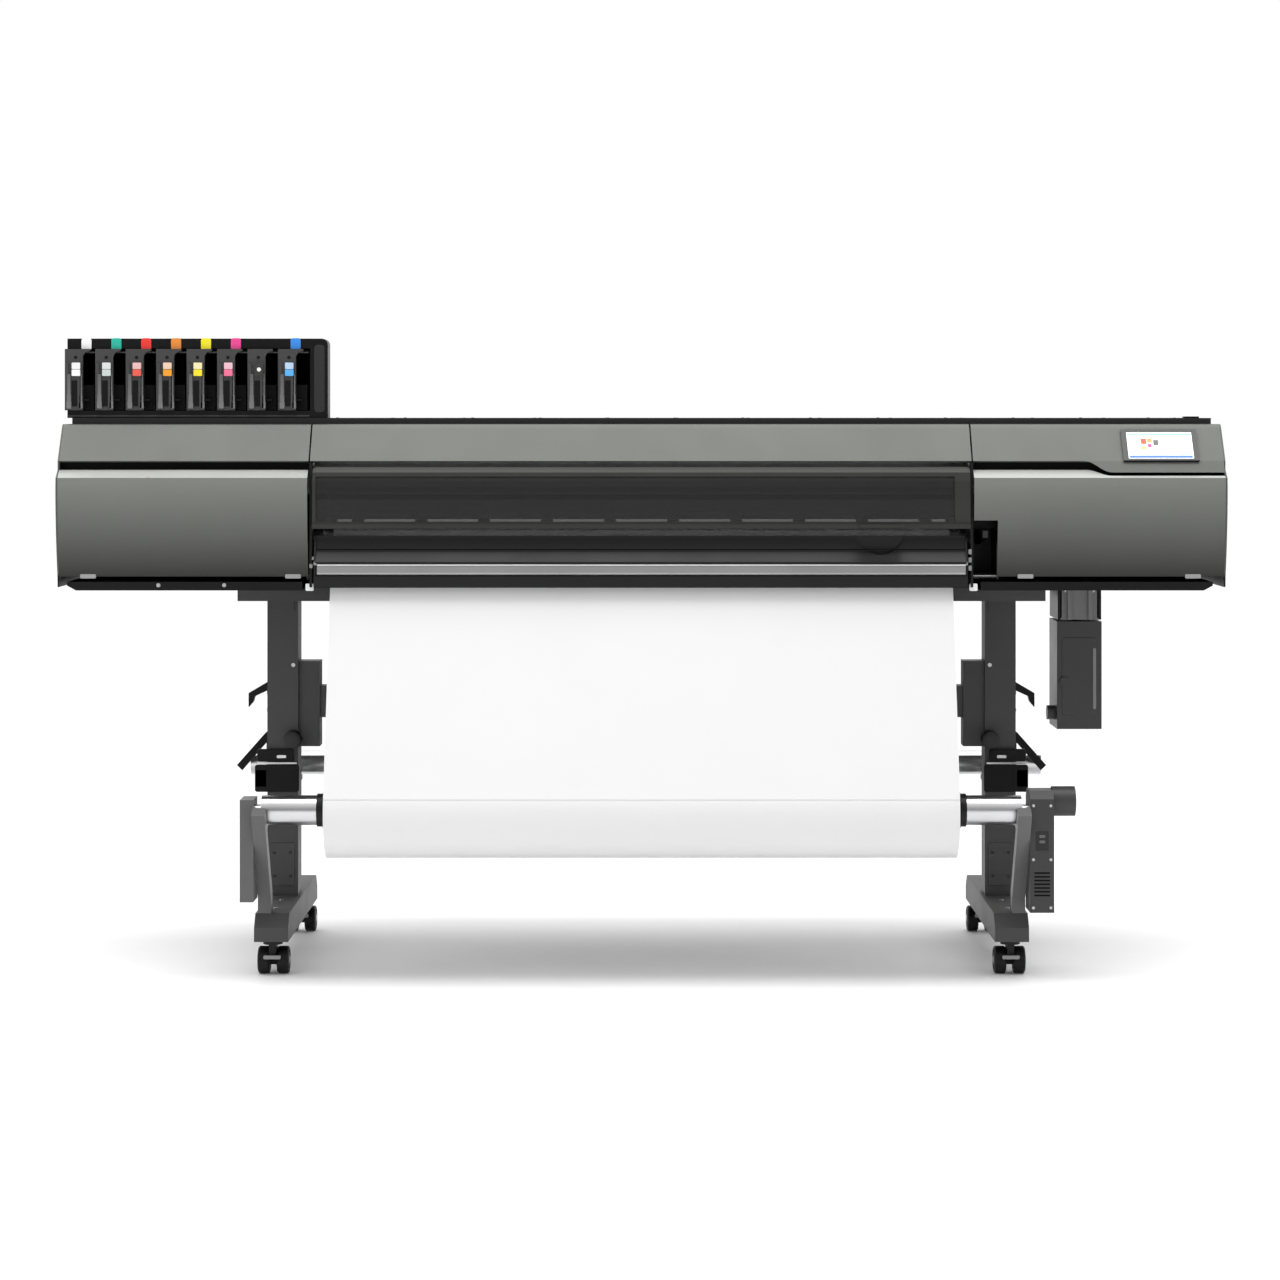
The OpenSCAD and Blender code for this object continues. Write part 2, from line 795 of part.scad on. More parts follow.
// carriage motor under the beam's right end, and the feed motor on the pan
module drive_motors() {
    color([0.1, 0.1, 0.1]) {
        difference() {
            union() {
                rod_z(1085, 1152, belt_end_x, belt_y, 35);
                box(belt_end_x - 38, belt_end_x + 38, belt_y - 38, belt_y + 38, 1150, beam_z0);
            }
            rod_z(1119, beam_z0 + 1, belt_end_x, belt_y, stem_r + run);
        }
        rod_x(866, 930, 60, 1000, 30);
        rod_x(850, 867, 60, 1000, 8);
        box(870, 926, 30, 90, pan_z + 4, 980);
    }
}

// capping unit below the parked print carriage, guided on two posts
module cap_station() {
    top_z = 1087.5;
    color([0.2, 0.2, 0.2])
    difference() {
        box(print_x - 110, print_x + 110, -195, -65, 1040, top_z);
        for (s = [-1, 1]) {
            translate([print_x + s * 60, 0, 0]) box(-36, 36, -176, -94, top_z - 10, top_z + 1);
            rod_z(1039, 1066, print_x + s * 60, -130, 8 + run);
        }
    }
}

// power supply and main board on a tray in the base
module electronics() {
    tray_z0 = pan_z + 4;
    color([0.1, 0.35, 0.18]) {
        box(-330, -20, 120, 205, tray_z0, tray_z0 + 6);
        box(-320, -190, 126, 200, tray_z0 + 6, tray_z0 + 66);
        for (x = [-165, -40], y = [132, 190])
            rod_z(tray_z0 + 6, tray_z0 + 14, x, y, 4);
        box(-172, -30, 124, 200, tray_z0 + 14, tray_z0 + 16);
        for (x = [-150, -110, -70])
            box(x, x + 24, 140, 164, tray_z0 + 16, tray_z0 + 22);
    }
}

module power_rocker() {
    color([0.02, 0.02, 0.02])
    difference() {
        rod_x(switch_x - 12, switch_x + 12, switch_y, switch_z, 14);
        for (s = [-1, 1])
            translate([0, switch_y + 9, switch_z]) rotate([s * 14, 0, 0])
                box(switch_x - 13, switch_x + 13, 0, 20, s > 0 ? -5 : -20, s > 0 ? 20 : 5);
    }
}

// ---- media and rolls ----

// where the web leaving the body at the outlet meets the take-up roll
takeup_in = [takeup_y, takeup_z];
drop_v = [outlet_y, outlet_z] - takeup_in;
wrap_r = takeup_r + gap + media_t / 2;
wrap_a = atan2(drop_v[1], drop_v[0]) + acos(wrap_r / norm(drop_v));
web_path = concat(
    [[supply_y - supply_r - gap - media_t / 2, supply_z]],
    arc(guide_rear_y, guide_z, web_r, 0, 90, 8),
    arc(guide_front_y, guide_z, web_r, 90, 145, 6),
    [[outlet_y, outlet_z], takeup_in + wrap_r * [cos(wrap_a), sin(wrap_a)]]
);

module media_web() {
    color("white")
        prism_x(-media_w / 2, media_w / 2,
            concat(beside(web_path, media_t / 2), back(beside(web_path, -media_t / 2))));
}

// media wound on a tube, with a cone pressed into each end
module roll(y, z, r, tube_r, x0, x1) {
    w = media_w / 2;
    rod_x(-w, w, y, z, r);
    rod_x(x0, x1, y, z, tube_r);
    for (s = [0, 1])
        mirror([s, 0, 0]) {
            rod_x(w, w + 10, y, z, tube_r + 9);
            rod_x(w + 10, w + 24, y, z, tube_r + 4);
        }
}

module takeup_roll() {
    color([0.93, 0.93, 0.93]) {
        roll(takeup_y, takeup_z, takeup_r, takeup_tube_r, -920, 920);
        rod_x(-966, 968, takeup_y, takeup_z, 14);
    }
}

module supply_roll() {
    color([0.93, 0.93, 0.93])
        roll(supply_y, supply_z, supply_r, supply_tube_r, -1035, 1058);
}

// leaning arms on the feet; the left one carries the bearing box of the tube
module takeup_arms() {
    color([0.45, 0.45, 0.45]) {
        for (s = [0, 1])
            mirror([s, 0, 0])
                prism_x(905, 937, [[-324, foot_z1], [-288, foot_z1], [-290, 200], [-432, 420],
                    [-458, 404], [-322, 186]]);
        difference() {
            box(-970, -937, -412, -330, 190, 437);
            rod_x(-971, -936, takeup_y, takeup_z, 14 + run);
        }
    }
}

module takeup_motor() {
    color([0.3, 0.3, 0.3]) {
        difference() {
            prism_x(937, 995, [[-420, 166], [-330, 166], [-330, 440], [-346, 459],
                [-404, 459], [-420, 440]]);
            rod_x(936, 972, takeup_y, takeup_z, 14 + run);
        }
        rod_x(995, 1050, takeup_y, 430, 36);
    }
}

// arms at the back of each leg with half-round saddles for the supply tube
module supply_hangers() {
    color([0.06, 0.06, 0.06])
    for (s = [0, 1])
        mirror([s, 0, 0]) {
            difference() {
                union() {
                    box(905, 935, 40, 402, 395, 425);
                    box(905, 990, 322, 402, 395, supply_z);
                    box(965, 990, 306, 323, 395, 530);
                }
                rod_x(900, 1000, supply_y, supply_z, supply_tube_r + gap);
            }
            prism_y(290, 306, [[965, 530], [990, 530], [1066, 444], [1052, 430]]);
            rod_y(-66, -40, 881, 547, 22);
            prism_y(-12, 12, [[947, 690], [998, 660], [998, 624], [986, 638], [982, 652],
                [947, 668]]);
        }
}

// ---- small parts ----

// screw heads on the legs, the pan and the back panel
module fasteners() {
    color("gray") {
        for (x = [-881, 881])
            rod_y(-43, -40, x, 734, 5);
        for (x = [-1182, -1021])
            rod_y(-309, -306, x, pan_z + 13, 5);
        for (x = [-1380:230:1380], z = [980, 1320])
            rod_y(rear_y, rear_y + 2, x, z, 5);
    }
}

left_leg();
right_leg();
stand_beam();
base_pan();
side_frames();
main_beam();
platen();
front_apron();
left_upper_cover();
top_cover();
right_upper_cover();
left_end_cover();
right_end_cover();
rear_cover();
top_deck();
ink_rack();
touch_screen();
drive_belt();
drive_motors();
media_web();
takeup_arms();
takeup_motor();
supply_hangers();
drain_holder();
electronics();
fasteners();
front_cover();
front_window();
left_service_cover();
right_service_cover();
print_carriage();
cut_carriage();
blade_holder();
grit_roller();
pinch_arms();
pinch_rollers();
loading_lever();
drive_pulley();
idler_pulley();
takeup_roll();
supply_roll();
cap_station();
drain_bottle();
power_rocker();
ink_tray_1();
ink_tray_2();
ink_tray_3();
ink_tray_4();
ink_tray_5();
ink_tray_6();
ink_tray_7();
ink_tray_8();
caster_fork_fl();
caster_fork_fr();
caster_fork_rl();
caster_fork_rr();
caster_wheels_fl();
caster_wheels_fr();
caster_wheels_rl();
caster_wheels_rr();
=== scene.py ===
"""Wide-format printer cutter: the looks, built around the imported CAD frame. Metres, +Z up."""

import json
import math

import bmesh
import bpy
from mathutils import Matrix, Vector


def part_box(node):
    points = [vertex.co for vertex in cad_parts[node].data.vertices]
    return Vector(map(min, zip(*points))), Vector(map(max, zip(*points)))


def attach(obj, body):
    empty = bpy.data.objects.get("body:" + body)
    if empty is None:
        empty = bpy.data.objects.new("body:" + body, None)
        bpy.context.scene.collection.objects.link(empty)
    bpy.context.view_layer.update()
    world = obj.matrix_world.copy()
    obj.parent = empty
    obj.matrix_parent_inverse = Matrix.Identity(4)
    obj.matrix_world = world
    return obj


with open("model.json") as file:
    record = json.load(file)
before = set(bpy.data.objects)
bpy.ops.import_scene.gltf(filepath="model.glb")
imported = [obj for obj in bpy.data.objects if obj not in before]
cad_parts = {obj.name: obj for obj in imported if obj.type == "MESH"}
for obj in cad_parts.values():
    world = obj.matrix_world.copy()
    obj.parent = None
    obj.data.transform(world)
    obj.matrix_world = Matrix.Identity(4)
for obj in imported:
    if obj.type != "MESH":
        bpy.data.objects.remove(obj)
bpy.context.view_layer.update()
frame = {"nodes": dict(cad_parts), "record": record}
NODES = frame["nodes"]
BOX = {name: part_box(name) for name in NODES}
BODY = {node: body for body, members in frame["record"]["behaviour"]["bodies"].items()
        for node in members}
MM = 0.001


# ---------------------------------------------------------------- camera, light, floor

CAMERA_HEIGHT = 1.369          # level with the top of the body
CAMERA_DISTANCE = 8.08
FOCAL_WIDTHS = 3177 / 1280     # focal length in image widths
SENSOR = 36.0
SHIFT = (-0.0012, -0.1766)     # puts the object where it stands in the picture

FLOOR_HALF = 40
SIDE_LIGHT = ((-0.6, 0.42), (0.5, 1.0))     # sky strength by direction Y, behind the camera first
ZENITH_LIGHT = ((0.25, 0.0), (0.9, 0.7))    # added to it by direction Z


def add_camera():
    data = bpy.data.cameras.new("camera")
    data.sensor_width = SENSOR
    data.lens = SENSOR * FOCAL_WIDTHS
    data.shift_x, data.shift_y = SHIFT
    data.clip_end = 200
    obj = bpy.data.objects.new("camera", data)
    obj.location = (0, -CAMERA_DISTANCE, CAMERA_HEIGHT)
    obj.rotation_euler = (math.radians(90), 0, 0)
    bpy.context.scene.collection.objects.link(obj)
    bpy.context.scene.camera = obj


def add_area(name, place, aim, size, power):
    data = bpy.data.lights.new(name, "AREA")
    data.shape = "RECTANGLE"
    data.size, data.size_y = size
    data.energy = power
    obj = bpy.data.objects.new(name, data)
    obj.location = place
    obj.rotation_euler = (Vector(aim) - Vector(place)).to_track_quat("-Z", "Y").to_euler()
    bpy.context.scene.collection.objects.link(obj)


def ramp(tree, value, start, stop):
    """Map a value so that it runs from start to stop, each a pair (value in, value out)."""
    node = tree.nodes.new("ShaderNodeMapRange")
    for end, (value_in, value_out) in (("Min", start), ("Max", stop)):
        node.inputs["From " + end].default_value = value_in
        node.inputs["To " + end].default_value = value_out
    tree.links.new(value, node.inputs["Value"])
    return node


def combine(tree, operation, a, b):
    node = tree.nodes.new("ShaderNodeMath")
    node.operation = operation
    tree.links.new(a, node.inputs[0])
    tree.links.new(b, node.inputs[1])
    return node.outputs["Value"]


def add_studio():
    scene = bpy.context.scene
    scene.view_settings.view_transform = "Standard"
    scene.view_settings.look = "None"
    world = bpy.data.worlds.new("studio")
    scene.world = world
    world.use_nodes = True
    tree = world.node_tree
    coords = tree.nodes.new("ShaderNodeTexCoord")
    split = tree.nodes.new("ShaderNodeSeparateXYZ")
    tree.links.new(coords.outputs["Generated"], split.inputs["Vector"])
    sides = ramp(tree, split.outputs["Y"], *SIDE_LIGHT)
    sides.interpolation_type = "SMOOTHSTEP"
    zenith = ramp(tree, split.outputs["Z"], *ZENITH_LIGHT)
    strength = combine(tree, "ADD", sides.outputs["Result"], zenith.outputs["Result"])
    back = tree.nodes["Background"]
    back.inputs["Color"].default_value = (1, 1, 1, 1)
    tree.links.new(strength, back.inputs["Strength"])
    add_area("overhead", (0, -0.9, 4.6), (0, -0.2, 0.8), (6.5, 2.4), 150)
    add_area("left_fill", (-5.5, -4.5, 2.6), (0, 0, 1.0), (2.5, 3.0), 40)


def add_floor():
    bm = bmesh.new()
    corners = [bm.verts.new((x * FLOOR_HALF, y * FLOOR_HALF, 0)) for x, y in
               ((-1, -1), (1, -1), (1, 1), (-1, 1))]
    bm.faces.new(corners)
    floor = mesh_object("studio_floor", bm)
    mat = surface("floor_paper", (0.86, 0.86, 0.86), rough=0.6, vary=0.01, grain=60, bump=0.02)
    floor.data.materials.append(mat)


# ---------------------------------------------------------------- materials

PLASTIC_IOR = 1.45
DUST_COLOR = (0.45, 0.44, 0.42, 1)
RELIEF_DEPTH = 0.0004
DRIFT_SCALE, SMUDGE_SCALE, DUST_SCALE, FLAKE_SCALE = 4.0, 11.0, 22.0, 2600.0


def blend(tree, amount, base, color):
    """Base colour with some of another colour laid over it."""
    mix = tree.nodes.new("ShaderNodeMix")
    mix.data_type = "RGBA"
    tree.links.new(amount, mix.inputs["Factor"])
    tree.links.new(base, mix.inputs["A"])
    mix.inputs["B"].default_value = color
    return mix.outputs["Result"]

def surface(name, color, rough=0.5, metal=0.0, vary=0.07, grain=900.0, bump=0.12,
            smudge=0.03, stretch=(1, 1, 1), spec=0.5, coat=0.0, coat_rough=0.15, alpha=1.0,
            dust=0.0, glow=0.0, speckle=0.0, fade=None):
    """Principled material with broad colour drift, roughness smudges and a fine grain.

    fade is (low, high, dark, light): the colour runs from dark times its value at height low
    to light times its value at height high, a gradient by height painted into the colour; on the
    service covers and the tray faces it is painted shade and painted light."""
    mat = bpy.data.materials.new(name)
    mat.use_nodes = True
    tree = mat.node_tree
    link = tree.links.new
    bsdf = tree.nodes["Principled BSDF"]
    bsdf.inputs["Metallic"].default_value = metal
    bsdf.inputs["Specular IOR Level"].default_value = spec
    bsdf.inputs["Coat Weight"].default_value = coat
    bsdf.inputs["Coat Roughness"].default_value = coat_rough
    bsdf.inputs["IOR"].default_value = PLASTIC_IOR
    bsdf.inputs["Alpha"].default_value = alpha
    coords = tree.nodes.new("ShaderNodeTexCoord")
    mapping = tree.nodes.new("ShaderNodeMapping")
    mapping.inputs["Scale"].default_value = stretch
    link(coords.outputs["Object"], mapping.inputs["Vector"])

    def noise(scale, detail, source=coords.outputs["Object"]):
        node = tree.nodes.new("ShaderNodeTexNoise")
        node.inputs["Scale"].default_value = scale
        node.inputs["Detail"].default_value = detail
        link(source, node.inputs["Vector"])
        return node.outputs["Fac"]

    def spread(value, low, high, start=0.3, stop=0.7):
        return ramp(tree, value, (start, low), (stop, high)).outputs["Result"]

    def upright(source):
        split = tree.nodes.new("ShaderNodeSeparateXYZ")
        link(source, split.inputs["Vector"])
        return split.outputs["Z"]

    drift = spread(noise(DRIFT_SCALE, 5.0), 1 - vary, 1 + vary)
    tone = tree.nodes.new("ShaderNodeHueSaturation")
    tone.inputs["Color"].default_value = (*color, 1)
    # painted shade and light: the colour is scaled by height between the two ends of fade
    if fade:
        low, high, dark, light = fade
        depth = spread(upright(coords.outputs["Object"]), dark, light, low, high)
        drift = combine(tree, "MULTIPLY", drift, depth)
    link(drift, tone.inputs["Value"])
    shade = tone.outputs["Color"]
    if speckle:
        flakes = spread(noise(FLAKE_SCALE, 1.0), 0.0, speckle, 0.6, 0.8)
        shade = blend(tree, flakes, shade, (*[min(1, c * 2.2 + 0.05) for c in color], 1))
    if dust:
        geometry = tree.nodes.new("ShaderNodeNewGeometry")
        upward = spread(upright(geometry.outputs["Normal"]), 0.0, dust, 0.6, 1.0)
        patches = combine(tree, "MULTIPLY", upward, spread(noise(DUST_SCALE, 6.0), 0.2, 1.0))
        shade = blend(tree, patches, shade, DUST_COLOR)
    link(shade, bsdf.inputs["Base Color"])
    if glow:
        link(shade, bsdf.inputs["Emission Color"])
        bsdf.inputs["Emission Strength"].default_value = glow
    link(spread(noise(SMUDGE_SCALE, 6.0), max(0.02, rough - smudge), min(1, rough + smudge)),
         bsdf.inputs["Roughness"])
    relief = tree.nodes.new("ShaderNodeBump")
    relief.inputs["Strength"].default_value = bump
    relief.inputs["Distance"].default_value = RELIEF_DEPTH
    link(noise(grain, 3.0, mapping.outputs["Vector"]), relief.inputs["Height"])
    link(relief.outputs["Normal"], bsdf.inputs["Normal"])
    return mat


def grey(level, warm=0.0):
    """Linear grey from an sRGB level of 0 to 255, a little green-warm like the covers."""
    c = level / 255
    linear = c / 12.92 if c <= 0.04045 else ((c + 0.055) / 1.055) ** 2.4
    return (linear, linear * (1 + warm), linear * (1 - 1.5 * warm))


FINISH = {
    "stand_paint": dict(color=grey(62), rough=0.5, grain=1400, bump=0.25, dust=0.1),
    "black_metal": dict(color=grey(9), rough=0.42, spec=0.25, grain=1400, bump=0.2),
    "frame_steel": dict(color=grey(14), rough=0.45, spec=0.3),
    "beam_aluminium": dict(color=(0.6, 0.6, 0.62), rough=0.32, metal=1.0,
                           stretch=(0.02, 1, 1), grain=700, bump=0.2),
    "platen_steel": dict(color=(0.32, 0.32, 0.33), rough=0.36, metal=1.0,
                         stretch=(0.02, 1, 1), grain=900, bump=0.2),
    "apron_black": dict(color=grey(20), rough=0.32, spec=0.35, grain=1800, bump=0.08),
    "upper_grey": dict(color=grey(92, 0.03), rough=0.4, metal=0.3, vary=0.03, grain=1800,
                       bump=0.05, speckle=0.2, spec=0.35),
    # fade paints the service covers dark at their foot and light at their top: painted shade and
    # painted highlight by height
    "service_grey": dict(color=grey(112, 0.03), rough=0.42, metal=0.2, vary=0.03, grain=1800,
                         bump=0.05, speckle=0.15, spec=0.3, fade=(0.965, 1.215, 0.12, 1.3)),
    "rear_black": dict(color=grey(42), rough=0.55, grain=1100, bump=0.3),
    "deck_black": dict(color=grey(30), rough=0.5, spec=0.3, grain=1100, bump=0.25, dust=0.12),
    "rack_black": dict(color=grey(9), rough=0.36, spec=0.25, grain=1500, bump=0.12, dust=0.08),
    "tray_black": dict(color=grey(58), rough=0.42, grain=1500, bump=0.15),
    "screen_bezel": dict(color=grey(8), rough=0.2, spec=0.3, vary=0.02, bump=0.03, coat=0.6),
    "belt_rubber": dict(color=grey(26), rough=0.7, stretch=(1, 0.05, 1), grain=1300, bump=0.8),
    "motor_black": dict(color=grey(30), rough=0.4, grain=1300, bump=0.2),
    "media_white": dict(color=(0.76, 0.76, 0.76), rough=0.45, vary=0.006, grain=500, bump=0.03,
                        coat=0.15, coat_rough=0.35),
    "arm_grey": dict(color=grey(92), rough=0.42, grain=1400, bump=0.2, dust=0.05),
    "drive_black": dict(color=grey(52), rough=0.46, grain=1200, bump=0.3),
    "hanger_black": dict(color=grey(12), rough=0.45, spec=0.25, grain=1200, bump=0.25),
    "holder_grey": dict(color=grey(112), rough=0.45, grain=1400, bump=0.2),
    "bottle_dark": dict(color=grey(50), rough=0.38, grain=900, bump=0.25),
    "board_green": dict(color=(0.02, 0.12, 0.05), rough=0.3, grain=300, bump=0.3),
    "screw_steel": dict(color=(0.5, 0.5, 0.5), rough=0.28, metal=1.0, grain=2500, bump=0.2),
    "lid_grey": dict(color=grey(50, 0.03), rough=0.36, metal=0.2, spec=0.35, grain=1800, bump=0.06),
    "carriage_black": dict(color=grey(34), rough=0.4, grain=1300, bump=0.2),
    "cutter_aluminium": dict(color=(0.5, 0.5, 0.52), rough=0.3, metal=1.0,
                             stretch=(1, 1, 0.05), grain=900, bump=0.2),
    "blade_steel": dict(color=(0.6, 0.6, 0.6), rough=0.16, metal=1.0,
                        stretch=(0.05, 0.05, 1), grain=1500, bump=0.15),
    "roller_steel": dict(color=(0.42, 0.42, 0.43), rough=0.4, metal=1.0, grain=1500, bump=0.9),
    "arm_steel": dict(color=grey(80), rough=0.4, grain=1200, bump=0.15),
    "pinch_rubber": dict(color=grey(24), rough=0.75, grain=1500, bump=0.3),
    "lever_black": dict(color=grey(12), rough=0.4, spec=0.3, grain=1200, bump=0.25),
    "pulley_aluminium": dict(color=(0.6, 0.6, 0.6), rough=0.25, metal=1.0, grain=1800, bump=0.2),
    "cap_plastic": dict(color=grey(40), rough=0.45, grain=1200, bump=0.2),
    "rocker_black": dict(color=grey(16), rough=0.2, grain=900, bump=0.08),
    "caster_black": dict(color=grey(14), rough=0.42, spec=0.3, grain=1200, bump=0.25),
    "caster_nylon": dict(color=grey(12), rough=0.5, spec=0.3, grain=1000, bump=0.35),
    # smoked acrylic: a dark body that still lets the rails show, with a clear gloss
    "window_tint": dict(color=grey(38), rough=0.1, vary=0.03, grain=300, bump=0.0,
                        smudge=0.02, alpha=0.72),
    "chrome_tube": dict(color=(0.62, 0.62, 0.63), rough=0.22, metal=1.0,
                        stretch=(0.02, 1, 1), grain=900, bump=0.12),
    "silver_bar": dict(color=(0.34, 0.34, 0.34), rough=0.34, metal=1.0,
                       stretch=(0.02, 1, 1), grain=900, bump=0.2),
    "light_tab": dict(color=grey(135), rough=0.4),
    # lighter grey for the covers' upward-facing bevel: a painted highlight
    "bevel_painted_highlight": dict(color=grey(168, 0.02), rough=0.3, metal=0.3, vary=0.02, grain=1800,
                       bump=0.05, coat=0.2),
    "end_grey": dict(color=grey(84, 0.03), rough=0.4, grain=1800, bump=0.1, spec=0.3,
                     fade=(0.972, 0.98, 0.03, 1.0)),
    "cone_black": dict(color=grey(12), rough=0.4, spec=0.3, bump=0.2),
    "grille_dark": dict(color=grey(5), rough=0.7, spec=0.15, bump=0.2),
}


MATERIALS = {}


def make_materials():
    for slot, look in FINISH.items():
        MATERIALS[slot] = surface(slot, **look)


NODE_EDGE = 0.0012


def dress_nodes():
    """Each CAD node takes its slot's material, softened edges and shading by angle."""
    slots = {s["node"]: s["material_slot"] for s in frame["record"]["subparts"]}
    for name, obj in NODES.items():
        obj.data.materials.clear()
        finish = "end_grey" if name.endswith("_end_cover") else slots[name]
        obj.data.materials.append(MATERIALS[finish])
        soften(obj, NODE_EDGE)


# ---------------------------------------------------------------- mesh helpers

def mesh_object(name, bm, mat=None):
    mesh = bpy.data.meshes.new(name)
    bmesh.ops.recalc_face_normals(bm, faces=bm.faces)
    bm.to_mesh(mesh)
    bm.free()
    obj = bpy.data.objects.new(name, mesh)
    bpy.context.scene.collection.objects.link(obj)
    if mat:
        mesh.materials.append(MATERIALS[mat] if isinstance(mat, str) else mat)
    return obj


def soften(obj, width, segments=2, angle=35):
    """Rounded edges of a set width and smooth shading below a set angle."""
    for poly in obj.data.polygons:
        poly.use_smooth = True
    obj.data.set_sharp_from_angle(angle=math.radians(angle))
    bevel = obj.modifiers.new("edges", "BEVEL")
    bevel.width = width
    bevel.segments = segments
    bevel.limit_method = "ANGLE"
    bevel.angle_limit = math.radians(angle)
    bevel.harden_normals = True
    bevel.use_clamp_overlap = True


def piece(name, bm, mat, node, edge=0.0008):
    """A finished mesh that rides on the body of the CAD node it belongs to."""
    obj = mesh_object(name, bm, mat)
    if edge:
        soften(obj, edge)
    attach(obj, BODY[node])
    return obj


def add_block(bm, lo, hi):
    for v in bmesh.ops.create_cube(bm, size=1.0)["verts"]:
        v.co = Vector([lo[i] + (v.co[i] + 0.5) * (hi[i] - lo[i]) for i in range(3)])


def add_prism(bm, outline, lo, hi, axis="X"):
    """Closed outline drawn out along an axis. Points are (Y, Z), (X, Z) or (X, Y)."""
    def place(p, t):
        return {"X": (t, p[0], p[1]), "Y": (p[0], t, p[1]), "Z": (p[0], p[1], t)}[axis]
    first = [bm.verts.new(place(p, lo)) for p in outline]
    last = [bm.verts.new(place(p, hi)) for p in outline]
    bm.faces.new(first)
    bm.faces.new(last)
    count = len(outline)
    for i in range(count):
        j = (i + 1) % count
        bm.faces.new((first[i], first[j], last[j], last[i]))


def add_lathe(bm, profile, centre, axis="X", sides=48):
    """Closed body of revolution. profile is (along, radius) from one end to the other."""
    def place(t, r, a):
        u, v = r * math.cos(a), r * math.sin(a)
        offset = {"X": (t, u, v), "Y": (u, t, v), "Z": (u, v, t)}[axis]
        return Vector(centre) + Vector(offset)
    rings = []
    for t, r in profile:
        if r < 1e-6:
            rings.append([bm.verts.new(place(t, 0, 0))])
        else:
            rings.append([bm.verts.new(place(t, r, 2 * math.pi * k / sides))
                          for k in range(sides)])
    for a, b in zip(rings, rings[1:]):
        for k in range(sides):
            m = (k + 1) % sides
            quad = [a[k % len(a)], a[m % len(a)], b[m % len(b)], b[k % len(b)]]
            corners = list(dict.fromkeys(quad))
            if len(corners) > 2:
                bm.faces.new(corners)
    for ring in (rings[0], rings[-1]):
        if len(ring) > 1:
            bm.faces.new(ring)


def rounded(x0, x1, z0, z1, r, steps=5):
    """Outline of a rectangle with round corners."""
    points = []
    for cx, cz, start in ((x1 - r, z1 - r, 0), (x0 + r, z1 - r, 90), (x0 + r, z0 + r, 180),
                          (x1 - r, z0 + r, 270)):
        for k in range(steps + 1):
            a = math.radians(start + 90 * k / steps)
            points.append((cx + r * math.cos(a), cz + r * math.sin(a)))
    return points


def screw(bm, x, y, z, axis="Y", side=-1, r=0.0045, h=0.002):
    """Pan head with a hex socket, standing h proud of the face at (x, y, z)."""
    profile = [(0, r), (side * h * 0.6, r), (side * h, r * 0.75), (side * h, r * 0.42),
               (side * h * 0.35, r * 0.38), (side * h * 0.35, 0)]
    add_lathe(bm, [(0, 0)] + profile, (x, y, z), axis, 18)


def plate(name, outline, lo, hi, mat, node, edge=0.0008, axis="Y"):
    """A piece made of one outline drawn out along an axis."""
    bm = bmesh.new()
    add_prism(bm, outline, lo, hi, axis)
    return piece(name, bm, mat, node, edge)


# ---------------------------------------------------------------- ink rack

INKS = [("white", (0.85, 0.85, 0.85)), ("gloss", (0.55, 0.62, 0.6)), ("coral", (0.8, 0.1, 0.07)),
        ("orange", (0.85, 0.33, 0.02)), ("yellow", (0.9, 0.72, 0.02)), ("pink", (0.85, 0.16, 0.3)),
        ("black", (0.03, 0.03, 0.03)), ("blue", (0.1, 0.42, 0.85))]
TABS = [(0.85, 0.85, 0.85), (0.02, 0.45, 0.33), (0.8, 0.04, 0.03), (0.75, 0.25, 0.04),
        (0.85, 0.75, 0.02), (0.8, 0.06, 0.28), None, (0.04, 0.25, 0.75)]


def pouch_mesh(lo, n, rows=14, cols=8):
    """Filled foil pouch with creases of its own, and the spout at its back end."""
    bm = bmesh.new()
    grid = []
    for i in range(rows + 1):
        line = []
        for j in range(cols + 1):
            u, v = i / rows, j / cols
            swell = math.sin(math.pi * u) ** 0.5 * math.sin(math.pi * v) ** 0.7
            crease = 0.8 * MM * math.sin(31 * u + 5 * v + n) * swell
            line.append(bm.verts.new((lo.x + (14 + 52 * v) * MM,
                                      lo.y + (28 + 320 * u) * MM,
                                      lo.z + 8 * MM + 38 * MM * swell + crease)))
        grid.append(line)
    for i in range(rows):
        for j in range(cols):
            bm.faces.new((grid[i][j], grid[i][j + 1], grid[i + 1][j + 1], grid[i + 1][j]))
    add_block(bm, (lo.x + 30 * MM, lo.y + 330 * MM, lo.z + 9 * MM),
              (lo.x + 50 * MM, lo.y + 360 * MM, lo.z + 22 * MM))
    return bm


